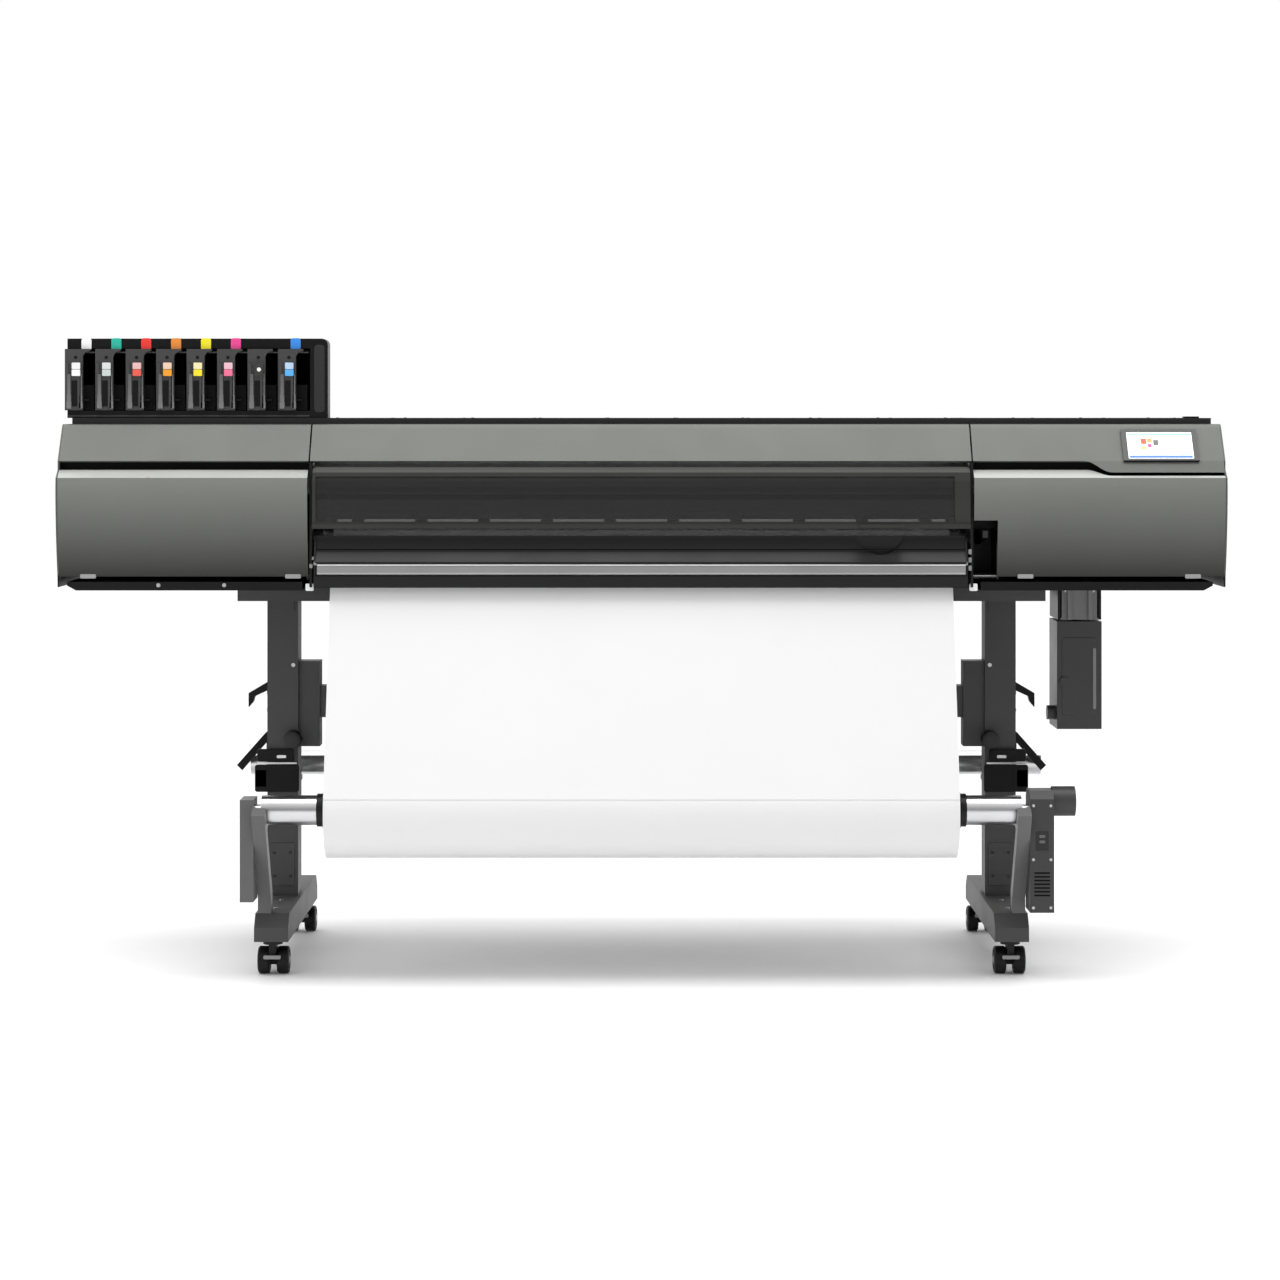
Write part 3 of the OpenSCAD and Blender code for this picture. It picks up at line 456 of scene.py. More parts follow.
def build_ink_trays():
    """Front of each pouch tray: recessed label plate, two-part colour label, grip and pouch."""
    # the tray faces are painted lighter at their foot and darker at their top: painted light and
    # shade by height
    face = surface("tray_face", grey(104), rough=0.4, grain=1500, bump=0.12, spec=0.3,
                   fade=(1.375, 1.5, 1.35, 0.55))
    pouch = surface("ink_pouch", (0.55, 0.55, 0.56), rough=0.3, metal=0.8, grain=60, bump=0.9)
    paper = surface("label_paper", (0.85, 0.85, 0.83), rough=0.5, grain=600, bump=0.05)
    for n, (word, color) in enumerate(INKS):
        node = f"ink_tray_{n + 1}"
        lo, hi = BOX[node]
        front = lo.y + 4 * MM
        left = lo.x
        ink = surface("ink_" + word, color, rough=0.45, vary=0.03, grain=700, bump=0.05)

        bm = bmesh.new()
        for x0, x1, depth in ((6.5, 15, 5), (36.5, 43, 4)):
            for k in range(5):
                # the two upright ribs swell towards the foot of the panel
                z0 = lo.z + (4 + 17 * k) * MM
                grow = max(0, 2 - k) * 0.9 * MM
                add_block(bm, (left + x0 * MM - grow, front - depth * MM, z0),
                          (left + x1 * MM + grow, front + 1 * MM, z0 + 17.5 * MM))
        piece(f"tray_ribs_{n + 1}", bm, face, node, 0.0012)

        plate(f"tray_plate_{n + 1}",
              rounded(left + 17 * MM, left + 35 * MM, lo.z + 10 * MM, lo.z + 74 * MM, 3 * MM),
              front - 1.2 * MM, front + 1 * MM, "rack_black", node, 0.0005)

        pale = surface("ink_pale_" + word, [0.45 * c + 0.42 for c in color], rough=0.45,
                       vary=0.03, grain=700, bump=0.05)
        for name, drop, mat in (("tray_label_top", 34, pale if word != "black" else ink),
                                ("tray_label", 51, ink)):
            plate(f"{name}_{n + 1}",
                  rounded(left + 18 * MM, left + 39 * MM, hi.z - (drop + 16) * MM,
                          hi.z - drop * MM, 2 * MM),
                  front - 6.2 * MM, front + 1 * MM, mat, node, 0.0004)
        if word == "black":
            bm = bmesh.new()
            add_lathe(bm, [(0, 0), (0, 5 * MM), (-0.6 * MM, 5 * MM), (-0.6 * MM, 0)],
                      (left + 29 * MM, front - 6 * MM, hi.z - 51 * MM), "Y", 24)
            piece("tray_label_dot", bm, paper, node, 0)

        bm = bmesh.new()
        add_lathe(bm, [(0, 0), (0, 4 * MM), (-1.5 * MM, 4 * MM), (-1.5 * MM, 2.4 * MM),
                       (-0.4 * MM, 2.2 * MM), (-0.4 * MM, 0)],
                  (left + 27 * MM, front + 0.2 * MM, hi.z - 21 * MM), "Y", 20)
        add_block(bm, (left + 45 * MM, front + 2 * MM, lo.z + 24 * MM),
                  (left + 60 * MM, front + 12 * MM, lo.z + 27 * MM))
        piece(f"tray_latch_{n + 1}", bm, "rack_black", node, 0.0004)

        pouch_piece = piece(f"ink_pouch_{n + 1}", pouch_mesh(lo, n), pouch, node, 0)
        for poly in pouch_piece.data.polygons:
            poly.use_smooth = True


def build_ink_rack():
    lo, hi = BOX["ink_rack"]
    first = BOX["ink_tray_1"][0].x
    pitch = (BOX["ink_tray_8"][0].x - first) / 7
    for n, color in enumerate(TABS):
        if color is None:
            continue
        paint = surface(f"tab_ink_{n + 1}", color, rough=0.35, vary=0.03, grain=700, bump=0.05)
        x = first + (pitch - 1.3 * MM) * n + 39 * MM
        plate(f"rack_tab_{n + 1}",
              rounded(x, x + 25 * MM, hi.z - 29 * MM, hi.z + 1 * MM, 6 * MM),
              lo.y - 2.5 * MM, lo.y + 3 * MM, paint, "ink_rack", 0.0006)

    # moulded band over the bays and foot rail
    bm = bmesh.new()
    add_block(bm, (lo.x + 2 * MM, lo.y - 1.6 * MM, hi.z - 36 * MM),
              (hi.x - 48 * MM, lo.y + 2 * MM, hi.z - 33 * MM))
    add_block(bm, (lo.x + 2 * MM, lo.y - 1.2 * MM, lo.z + 3 * MM),
              (hi.x - 46 * MM, lo.y + 2 * MM, lo.z + 7 * MM))
    piece("rack_bands", bm, "tray_black", "ink_rack", 0.0006)

    plate("rack_end_panel",
          rounded(hi.x - 34 * MM, hi.x - 8 * MM, lo.z + 14 * MM, hi.z - 16 * MM, 8 * MM),
          lo.y - 1.4 * MM, lo.y + 2 * MM,
          surface("rack_panel", grey(44), rough=0.32, spec=0.35), "ink_rack")

    # vents and screws in the housing's outer side, cable duct and screws on the back
    bm = bmesh.new()
    wall = hi.x - 40 * MM
    for k in range(9):
        z = lo.z + (50 + 11 * k) * MM
        add_block(bm, (wall - 1 * MM, lo.y + 120 * MM, z), (wall + 0.8 * MM, hi.y - 60 * MM,
                                                            z + 5 * MM))
    piece("rack_side_vents", bm, "grille_dark", "ink_rack", 0.0003)
    bm = bmesh.new()
    for x in (lo.x + 20 * MM, (lo.x + hi.x) / 2, wall - 12 * MM):
        for z in (lo.z + 20 * MM, hi.z - 20 * MM):
            screw(bm, x, hi.y, z, "Y", 1)
    for y in (lo.y + 40 * MM, hi.y - 40 * MM):
        screw(bm, lo.x, y, hi.z - 20 * MM, "X", -1)
        screw(bm, lo.x, y, lo.z + 20 * MM, "X", -1)
    piece("rack_screws", bm, "screw_steel", "ink_rack", 0)
    bm = bmesh.new()
    add_prism(bm, rounded(lo.x + 60 * MM, hi.x - 70 * MM, lo.z + 30 * MM, lo.z + 74 * MM, 8 * MM),
              hi.y - 1 * MM, hi.y + 14 * MM, "Y")
    add_prism(bm, rounded(hi.x - 190 * MM, hi.x - 120 * MM, lo.z, lo.z + 50 * MM, 8 * MM),
              hi.y - 1 * MM, hi.y + 18 * MM, "Y")
    piece("rack_ink_duct", bm, "rear_black", "ink_rack", 0.002)
    bm = bmesh.new()
    for k in range(7):
        x = lo.x + (84 + 76 * k) * MM
        for z in (hi.z - 74 * MM, hi.z - 62 * MM):
            add_block(bm, (x, hi.y - 1 * MM, z), (x + 50 * MM, hi.y + 0.8 * MM, z + 4 * MM))
    piece("rack_back_slots", bm, "grille_dark", "ink_rack", 0.0003)


# ---------------------------------------------------------------- CAD node finishes by face

def tint(node, mat, test):
    """Give the faces of a CAD node that pass test(centre, normal) another material."""
    obj = NODES[node]
    mesh = obj.data
    mesh.materials.append(MATERIALS[mat] if isinstance(mat, str) else mat)
    index = len(mesh.materials) - 1
    to_world = obj.matrix_world
    turn = to_world.to_3x3()
    for poly in mesh.polygons:
        if test(to_world @ poly.center, (turn @ poly.normal).normalized()):
            poly.material_index = index


def face_frame(node, test):
    """Frame at the middle of a CAD node's largest flat face that passes test.

    x runs to the right, y up the slope and z out of the face. Also gives the face's half size."""
    obj = NODES[node]
    turn = obj.matrix_world.to_3x3()
    flats = []
    for poly in obj.data.polygons:
        centre = obj.matrix_world @ poly.center
        normal = (turn @ poly.normal).normalized()
        if test(centre, normal):
            flats.append((poly.area, centre, normal, poly))
    _, spot, normal, _ = max(flats, key=lambda f: f[0])
    side = Vector((1, 0, 0))
    up = normal.cross(side).normalized()
    points = []
    for _, centre, other, poly in flats:
        if other.dot(normal) > 0.999 and abs((centre - spot).dot(normal)) < 0.0003:
            points += [obj.matrix_world @ obj.data.vertices[i].co for i in poly.vertices]
    across = [p.dot(side) for p in points]
    along = [p.dot(up) for p in points]
    middle = (side * (min(across) + max(across)) / 2 + up * (min(along) + max(along)) / 2
              + normal * spot.dot(normal))
    frame_here = Matrix.Translation(middle) @ Matrix((side, up, normal)).transposed().to_4x4()
    return frame_here, (max(across) - min(across)) / 2, (max(along) - min(along)) / 2


def ring_material():
    """Cut edge of a wound roll: fine concentric lines round the tube's axis."""
    mat = surface("roll_edge", (0.8, 0.8, 0.79), rough=0.6, grain=1200, bump=0.1)
    tree = mat.node_tree
    coords = tree.nodes.new("ShaderNodeTexCoord")
    wave = tree.nodes.new("ShaderNodeTexWave")
    wave.wave_type = "RINGS"
    wave.rings_direction = "X"
    wave.inputs["Scale"].default_value = 160
    wave.inputs["Distortion"].default_value = 0.6
    tree.links.new(coords.outputs["Object"], wave.inputs["Vector"])
    relief = tree.nodes.new("ShaderNodeBump")
    relief.inputs["Strength"].default_value = 0.5
    relief.inputs["Distance"].default_value = 0.0006
    tree.links.new(wave.outputs["Fac"], relief.inputs["Height"])
    tree.links.new(relief.outputs["Normal"], tree.nodes["Principled BSDF"].inputs["Normal"])
    return mat


def paint_faces():
    bar_z0 = BOX["front_apron"][0].z + 29 * MM
    bar_z1 = bar_z0 + 30 * MM
    front = BOX["front_apron"][0].y
    tint("front_apron", "silver_bar",
         lambda c, n: bar_z0 < c.z < bar_z1 and c.y < front + 9 * MM and abs(n.x) < 0.5)
    # the up-and-forward facing bevel of the service covers takes a lighter grey, a painted
    # highlight
    for node in ("left_service_cover", "right_service_cover"):
        tint(node, "bevel_painted_highlight", lambda c, n: n.z > 0.4 and n.y < -0.2)
    # recessed front-facing faces inside each tray go near-black: painted shade in the recesses
    for n in range(8):
        node = f"ink_tray_{n + 1}"
        inner = BOX[node][0].y + 12.5 * MM
        tint(node, "grille_dark", lambda c, n: c.y > inner and n.y < -0.5)
    web_half = BOX["media_web"][1].x
    flange_end = web_half + 25 * MM
    for node in ("takeup_roll", "supply_roll"):
        tint(node, "cone_black", lambda c, n: web_half + MM < abs(c.x) < flange_end)
        tint(node, "chrome_tube", lambda c, n: abs(c.x) >= flange_end)
        tint(node, ring_material(),
             lambda c, n: abs(abs(c.x) - web_half) < MM and abs(n.x) > 0.9)


# ---------------------------------------------------------------- touch screen

def build_touch_screen():
    place, half_w, half_h = face_frame("touch_screen", lambda c, n: n.y < -0.5 and n.z > 0.2)
    half_w -= 1 * MM
    half_h -= 1 * MM

    def panel(name, x0, x1, y0, y1, z, color, glow, r=1.0):
        bm = bmesh.new()
        add_prism(bm, rounded(x0, x1, y0, y1, r * MM, 3), 0, z * MM, "Z")
        mat = surface(name, color, rough=0.12, vary=0.02, grain=40, bump=0.01, smudge=0.03,
                      glow=glow)
        obj = piece(name, bm, mat, "touch_screen", 0)
        obj.matrix_world = place
        return obj

    panel("screen_panel", -half_w, half_w, -half_h, half_h, 0.6, (0.85, 0.87, 0.87), 0.55, 2)
    panel("screen_title", -half_w + MM, half_w - MM, half_h - 8 * MM, half_h - 5 * MM, 0.9,
          (0.1, 0.5, 0.5), 0.4)
    panel("screen_status", -half_w + 3 * MM, half_w - 3 * MM, -half_h + 2 * MM,
          -half_h + 9 * MM, 0.9, (0.05, 0.16, 0.6), 0.4)
    marks = [(-46, 4, 13, 16, (0.8, 0.08, 0.03)), (-31, 8, 12, 12, (0.85, 0.3, 0.08)),
             (-30, -6, 9, 10, (0.7, 0.05, 0.25)), (-16, 0, 12, 16, (0.1, 0.1, 0.11)),
             (-47, -12, 12, 9, (0.85, 0.45, 0.15)), (-4, 4, 8, 12, (0.45, 0.5, 0.55))]
    for k, (x, y, w, h, color) in enumerate(marks):
        panel(f"screen_mark_{k + 1}", x * MM, (x + w) * MM, y * MM, (y + h) * MM, 1.0, color,
              0.35)
    for k in range(4):
        panel(f"screen_line_{k + 1}", 18 * MM, (62 - 9 * (k % 2)) * MM, (14 - 9 * k) * MM,
              (17.5 - 9 * k) * MM, 0.9, (0.5, 0.54, 0.56), 0.3)


# ---------------------------------------------------------------- covers

def build_cover_details():
    """Pull tabs and inner ribs of the service covers; plug, screws and seams of the deck."""
    tab = surface("cover_tab", grey(150), rough=0.4, grain=1500)
    for node, offsets in (("left_service_cover", (74, 576)), ("right_service_cover", (134, 544))):
        lo, hi = BOX[node]
        foot = [v.co.y for v in NODES[node].data.vertices if v.co.z < lo.z + 20 * MM]
        front = min(foot)
        for k, dx in enumerate(offsets):
            x = lo.x + dx * MM
            plate(f"{node}_tab_{k + 1}",
                  rounded(x - 19.5 * MM, x + 19.5 * MM, lo.z + 4 * MM, lo.z + 15 * MM, 3 * MM),
                  front - 2 * MM, front + 2.5 * MM, tab, node, 0.0012)
        # ribs inside, seen when the cover hangs open
        bm = bmesh.new()
        for k in range(5):
            x = lo.x + (hi.x - lo.x) * (k + 1) / 6
            if node == "right_service_cover" and x < lo.x + 80 * MM:
                continue
            add_block(bm, (x - 1.2 * MM, lo.y + 7 * MM, hi.z - 100 * MM),
                      (x + 1.2 * MM, lo.y + 14 * MM, hi.z - 44 * MM))
        piece(f"{node}_ribs", bm, "rear_black", node, 0.0004)

    lo, hi = BOX["top_deck"]
    x = hi.x - 40 * MM
    plate("deck_plug", rounded(x - 19 * MM, x + 19 * MM, lo.y + 40 * MM, lo.y + 78 * MM, 8 * MM),
          hi.z - 1 * MM, hi.z + 4 * MM, "rack_black", "top_deck", 0.0015, "Z")
    rack_hi = BOX["ink_rack"][1]
    bm = bmesh.new()
    for k in range(16):
        x = lo.x + (hi.x - lo.x) * (k + 0.5) / 16
        for y in (lo.y + 14 * MM, hi.y - 14 * MM):
            if x > rack_hi.x + 10 * MM or y > rack_hi.y + 10 * MM:
                screw(bm, x, y, hi.z, "Z", 1, 0.004, 0.0016)
    piece("deck_screws", bm, "screw_steel", "top_deck", 0)
    bm = bmesh.new()
    for x in (BOX["left_upper_cover"][1].x + 2 * MM, BOX["right_upper_cover"][0].x - 2 * MM):
        add_block(bm, (x - 1.2 * MM, lo.y + 2 * MM, hi.z - 0.5 * MM),
                  (x + 1.2 * MM, hi.y - 2 * MM, hi.z + 0.3 * MM))
    piece("deck_seams", bm, "grille_dark", "top_deck", 0)


def build_recess_details():
    """A near-black sheet behind the grooves as painted shade, the lever's pocket liner and the
    pan's end caps.
    """
    groove_back_y = -0.282
    # a near-black sheet behind the grooves between the covers stands in for the shade inside them
    bm = bmesh.new()
    for side in ("left", "right"):
        lo, hi = BOX[side + "_upper_cover"]
        groove = BOX[side + "_service_cover"][1].z
        add_block(bm, (lo.x + 2 * MM, groove_back_y, groove - 14 * MM),
                  (hi.x - 2 * MM, groove_back_y + 4 * MM, groove + 32 * MM))
    piece("groove_shade_sheet", bm, "grille_dark", "side_frames", 0)

    lever_lo, lever_hi = BOX["loading_lever"]
    frame_x = BOX["side_frames"][1].x
    x0, x1 = frame_x + 1 * MM, frame_x + 66 * MM
    floor = BOX["right_service_cover"][0].z + 14 * MM
    pocket_y = -0.122
    bm = bmesh.new()
    add_block(bm, (x0, pocket_y - 3 * MM, floor), (x1, pocket_y, lever_hi.z + 1 * MM))
    add_block(bm, (x0, pocket_y - 93 * MM, lever_hi.z + 1.5 * MM),
              (x1, pocket_y - 90 * MM, lever_hi.z + 34 * MM))
    add_block(bm, (x1 - 2 * MM, groove_back_y, floor), (x1, pocket_y, lever_hi.z + 1 * MM))
    add_block(bm, (x0, groove_back_y - 2 * MM, floor - 3 * MM), (x1, pocket_y, floor))
    piece("lever_pocket", bm, "rack_black", "side_frames", 0.0006)
    plate("lever_grip",
          rounded(lever_lo.x + 28 * MM, lever_hi.x - 1 * MM, lever_hi.z - 17 * MM,
                  lever_hi.z - 1 * MM, 3 * MM),
          lever_lo.y - 0.8 * MM, lever_lo.y + 2 * MM, "motor_black", "loading_lever", 0.0006)

    bm = bmesh.new()
    pan_lo = BOX["base_pan"][0]
    for side in (-1, 1):
        x = side * 812 * MM
        add_prism(bm, rounded(x - 10 * MM, x + 10 * MM, pan_lo.z - 1 * MM, pan_lo.z + 17 * MM,
                              3 * MM), pan_lo.y - 2.5 * MM, pan_lo.y + 1 * MM, "Y")
    piece("pan_end_caps", bm, surface("cap_white", (0.8, 0.8, 0.8), rough=0.4), "base_pan",
          0.0008)


def build_window_details():
    """Pane gasket, and the lamp strip, cable tray and scale that show through the window."""
    wlo, whi = BOX["front_window"]
    bm = bmesh.new()
    for z0, z1 in ((whi.z - 9 * MM, whi.z - 6.5 * MM), (wlo.z + 1 * MM, wlo.z + 3.5 * MM)):
        add_block(bm, (wlo.x + 1 * MM, whi.y - 0.5 * MM, z0),
                  (whi.x - 1 * MM, whi.y + 2.5 * MM, z1))
    piece("window_gasket", bm, "belt_rubber", "front_cover", 0.0005)

    beam_lo = BOX["main_beam"][0]
    x0 = BOX["side_frames"][0].x + 12 * MM
    x1 = BOX["side_frames"][1].x - 12 * MM
    bm = bmesh.new()
    for z in (beam_lo.z + 96 * MM, beam_lo.z + 106 * MM):
        add_block(bm, (x0, beam_lo.y + 14 * MM, z), (x1, beam_lo.y + 17 * MM, z + 5 * MM))
    piece("beam_scale_strips", bm, "chrome_tube", "main_beam", 0.0004)
    bm = bmesh.new()
    add_block(bm, (x0, beam_lo.y + 13.5 * MM, beam_lo.z + 3 * MM),
              (x1, beam_lo.y + 17 * MM, beam_lo.z + 18 * MM))
    piece("beam_lamp_strip", bm, surface("lamp_cover", grey(150), rough=0.35), "main_beam",
          0.0006)

    # chain of links that carries the ink tubes and cables along the beam's top
    bm = bmesh.new()
    top = beam_lo.z + 120 * MM
    chain_y = 0.079
    for k in range(44):
        x = x0 + 20 * MM + k * 18 * MM
        add_block(bm, (x, chain_y - 17 * MM, top), (x + 15.5 * MM, chain_y + 17 * MM,
                                                    top + 20 * MM))
        add_block(bm, (x - 2 * MM, chain_y - 13 * MM, top + 4 * MM),
                  (x + 17 * MM, chain_y + 13 * MM, top + 16 * MM))
    piece("cable_chain", bm, "motor_black", "main_beam", 0.0006)


def build_apron_details():
    """Pressed step lines of the apron and the small clips at its two ends."""
    lo, hi = BOX["front_apron"]
    bm = bmesh.new()
    for z, y in ((lo.z + 86 * MM, 26), (lo.z + 92 * MM, 27)):
        add_block(bm, (lo.x + 4 * MM, lo.y + y * MM, z), (hi.x - 4 * MM, lo.y + (y + 3) * MM,
                                                         z + 1.4 * MM))
    piece("apron_lines", bm, "grille_dark", "front_apron", 0)
    bm = bmesh.new()
    left_clips = ((-812, -804, 992, 10), (-806, -800, 1012, 8))
    right_clips = tuple((799, 807, z, 12) for z in (1026, 1006, 986))
    for x0, x1, z, height in left_clips + right_clips:
        add_prism(bm, rounded(x0 * MM, x1 * MM, z * MM, (z + height) * MM, 2 * MM),
                  -0.3145, -0.309, "Y")
    piece("frame_clips", bm, surface("clip_metal", grey(150), rough=0.35, metal=0.7),
          "side_frames", 0.0006)


# ---------------------------------------------------------------- stand, arms and hangers

def build_stand_details():
    """Bolts and front plates of the two legs."""
    foot_x, post_x, outer_x = 901.5 * MM, 908 * MM, 947 * MM
    post_y = -0.04
    bm = bmesh.new()
    plates = bmesh.new()
    for node, side in (("left_leg", -1), ("right_leg", 1)):
        foot_z = BOX[node][0].z + 66 * MM
        for y in (-0.25, -0.12, 0.12, 0.25):
            screw(bm, side * foot_x, y, foot_z, "Z", 1, 0.006, 0.003)
        for y in (-0.02, 0.02):
            for z in (0.618, 0.662):
                screw(bm, side * outer_x, y, z, "X", side, 0.006, 0.003)
        for z in (0.2, 0.26):
            for dx in (-20, 20):
                screw(bm, side * (post_x + dx * MM), post_y, z, "Y", -1, 0.005, 0.0025)
        for z0, z1 in ((0.176, 0.284), (0.87, 0.925)):
            add_prism(plates, rounded(side * post_x - 30 * MM, side * post_x + 30 * MM, z0, z1,
                                      4 * MM), post_y - 2.5 * MM, post_y + 0.5 * MM, "Y")
    piece("stand_bolts", bm, "screw_steel", "left_leg", 0)
    piece("stand_plates", plates, "stand_paint", "left_leg", 0.0008)


def build_takeup_details():
    """Bolts on the front arms; cooling slots, screws and a switch plate on the drive."""
    lo, hi = BOX["takeup_roll"]
    axis_y, axis_z = (lo.y + hi.y) / 2, (lo.z + hi.z) / 2
    bm = bmesh.new()
    for side in (-1, 1):
        for dy, dz in ((42, -70), (42, -110), (60, -190)):
            screw(bm, side * 937 * MM, axis_y + dy * MM, axis_z + dz * MM, "X", side, 0.005,
                  0.0022)
    piece("takeup_bolts", bm, "screw_steel", "takeup_arms", 0)

    mlo = BOX["takeup_motor"][0]
    bm = bmesh.new()
    for k in range(7):
        z = mlo.z + (40 + 9 * k) * MM
        add_block(bm, (mlo.x + 10 * MM, mlo.y - 0.6 * MM, z),
                  (mlo.x + 48 * MM, mlo.y + 1 * MM, z + 4 * MM))
    piece("takeup_drive_slots", bm, "grille_dark", "takeup_motor", 0.0002)
    bm = bmesh.new()
    for z in (mlo.z + 12 * MM, mlo.z + 128 * MM, mlo.z + 258 * MM):
        for x in (mlo.x + 8 * MM, mlo.x + 50 * MM):
            screw(bm, x, mlo.y, z, "Y", -1, 0.0035, 0.0016)
    piece("takeup_drive_screws", bm, "screw_steel", "takeup_motor", 0)
    plate("takeup_switch_plate",
          rounded(mlo.x + 14 * MM, mlo.x + 44 * MM, mlo.z + 150 * MM, mlo.z + 196 * MM, 4 * MM),
          mlo.y - 1.5 * MM, mlo.y + 1 * MM, "rocker_black", "takeup_motor")
    bm = bmesh.new()
    for z in (mlo.z + 168 * MM, mlo.z + 181 * MM):
        add_prism(bm, rounded(mlo.x + 22 * MM, mlo.x + 36 * MM, z, z + 7 * MM, 2 * MM),
                  mlo.y - 3 * MM, mlo.y, "Y")
    piece("takeup_switch_keys", bm, "arm_grey", "takeup_motor")


def build_hanger_details():
    """Bright wear strips, bolts, knob caps and post clamps of the rear roll hangers."""
    bracket_x, rear_x, knob_x, knob_z = 977 * MM, 920 * MM, 881 * MM, 0.547
    grip = [(0, 0), (0, 0.0195), (-0.004, 0.0215), (-0.0045, 0.0185), (-0.0065, 0.0185),
            (-0.0075, 0.012), (-0.0075, 0)]
    strips, bolts, knobs, clamps = (bmesh.new() for _ in range(4))
    for side in (-1, 1):
        def across(inner, outer):
            return sorted((side * inner * MM, side * outer * MM))

        add_block(strips, (side * bracket_x - 11 * MM, 0.304, 0.456),
                  (side * bracket_x + 11 * MM, 0.3065, 0.472))
        for z in (0.405, 0.42):
            screw(bolts, side * bracket_x, 0.306, z, "Y", -1, 0.0035, 0.002)
        for z in (0.402, 0.418):
            screw(bolts, side * rear_x, 0.402, z, "Y", 1, 0.004, 0.002)
        add_lathe(knobs, grip, (side * knob_x, -0.066, knob_z), "Y", 28)
        add_prism(clamps, rounded(*across(866, 978), 0.413, 0.482, 6 * MM), -0.046, -0.0405, "Y")
        add_prism(clamps, rounded(*across(880, 972), 0.49, 0.522, 6 * MM), -0.05, -0.0405, "Y")
        x0, x1 = across(948, 978)
        add_block(clamps, (x0, -0.046, 0.425), (x1, 0.04, 0.47))
        x0, x1 = across(872, 972)
        add_block(strips, (x0, -0.0485, 0.4835), (x1, -0.0405, 0.4885))
        add_prism(strips, rounded(*across(898, 922), 0.499, 0.507, 3 * MM), -0.0515, -0.0495,
                  "Y")
    piece("hanger_clamps", clamps, "hanger_black", "supply_hangers", 0.0015)
    piece("hanger_strips", strips, "chrome_tube", "supply_hangers", 0.0006)
    piece("hanger_bolts", bolts, "screw_steel", "supply_hangers", 0)
    piece("hanger_knob_caps", knobs, "motor_black", "supply_hangers", 0.0006)


def build_drain_details():
    """Moulded panel and level window of the waste bottle; plates and cheeks of its bracket."""
    lo, hi = BOX["drain_bottle"]
    left = hi.x - 112 * MM
    plate("bottle_panel",
          rounded(left + 12 * MM, hi.x - 12 * MM, lo.z + 34 * MM, hi.z - 44 * MM, 9 * MM),
          lo.y + 5.6 * MM, lo.y + 9 * MM, "bottle_dark", "drain_bottle", 0.0014)
    plate("bottle_level",
          rounded(hi.x - 22 * MM, hi.x - 14 * MM, lo.z + 50 * MM, hi.z - 70 * MM, 4 * MM),
          lo.y + 4.6 * MM, lo.y + 9 * MM,
          surface("bottle_window", grey(120), rough=0.25, grain=500, bump=0.1),
          "drain_bottle", 0.0006)
    hlo, hhi = BOX["drain_holder"]
    bm = bmesh.new()
    add_block(bm, (hlo.x + 9 * MM, hlo.y + 8.5 * MM, hlo.z + 1 * MM),
              (hhi.x - 9 * MM, hlo.y + 11 * MM, hhi.z - 1 * MM))
    add_block(bm, (hlo.x + 9 * MM, hhi.y - 11 * MM, hlo.z + 1 * MM),
              (hhi.x - 9 * MM, hhi.y - 8.5 * MM, hhi.z - 1 * MM))
    piece("drain_plates", bm, "holder_grey", "drain_holder", 0.0008)
    bm = bmesh.new()
    for x in (hlo.x - 1 * MM, hhi.x - 6 * MM):
        add_block(bm, (x, hlo.y + 6 * MM, hlo.z), (x + 7 * MM, hhi.y - 4 * MM, hhi.z))
    piece("drain_cheeks", bm, "rack_black", "drain_holder", 0.0008)
    bm = bmesh.new()
    for x in (hlo.x + 18 * MM, hhi.x - 18 * MM):
        screw(bm, x, hlo.y + 8.5 * MM, hhi.z - 12 * MM, "Y", -1, 0.0035, 0.0018)
    piece("drain_screws", bm, "screw_steel", "drain_holder", 0)


def build_caster_details():
    """Brake pedals and axle caps."""
    steel = surface("axle_steel", grey(165), rough=0.3, metal=0.8)
    for corner in ("fl", "fr", "rl", "rr"):
        lo, hi = BOX["caster_wheels_" + corner]
        axle = (lo + hi) / 2
        bm = bmesh.new()
        for x, side in ((lo.x, -1), (hi.x, 1)):
            add_lathe(bm, [(0, 0), (0, 0.009), (side * 0.0012, 0.009), (side * 0.002, 0.006),
                           (side * 0.002, 0)], (x, axle.y, axle.z), "X", 24)
        piece("axle_caps_" + corner, bm, steel, "caster_wheels_" + corner, 0.0003)
        flo, fhi = BOX["caster_fork_" + corner]
        mid = (flo.x + fhi.x) / 2
        plate("brake_pedal_" + corner, rounded(mid - 21 * MM, mid + 21 * MM, 0.041, 0.05, 3 * MM),
              flo.y - 1.5 * MM, flo.y + 7 * MM, "light_tab", "caster_fork_" + corner, 0.001)


# ---------------------------------------------------------------- back and ends

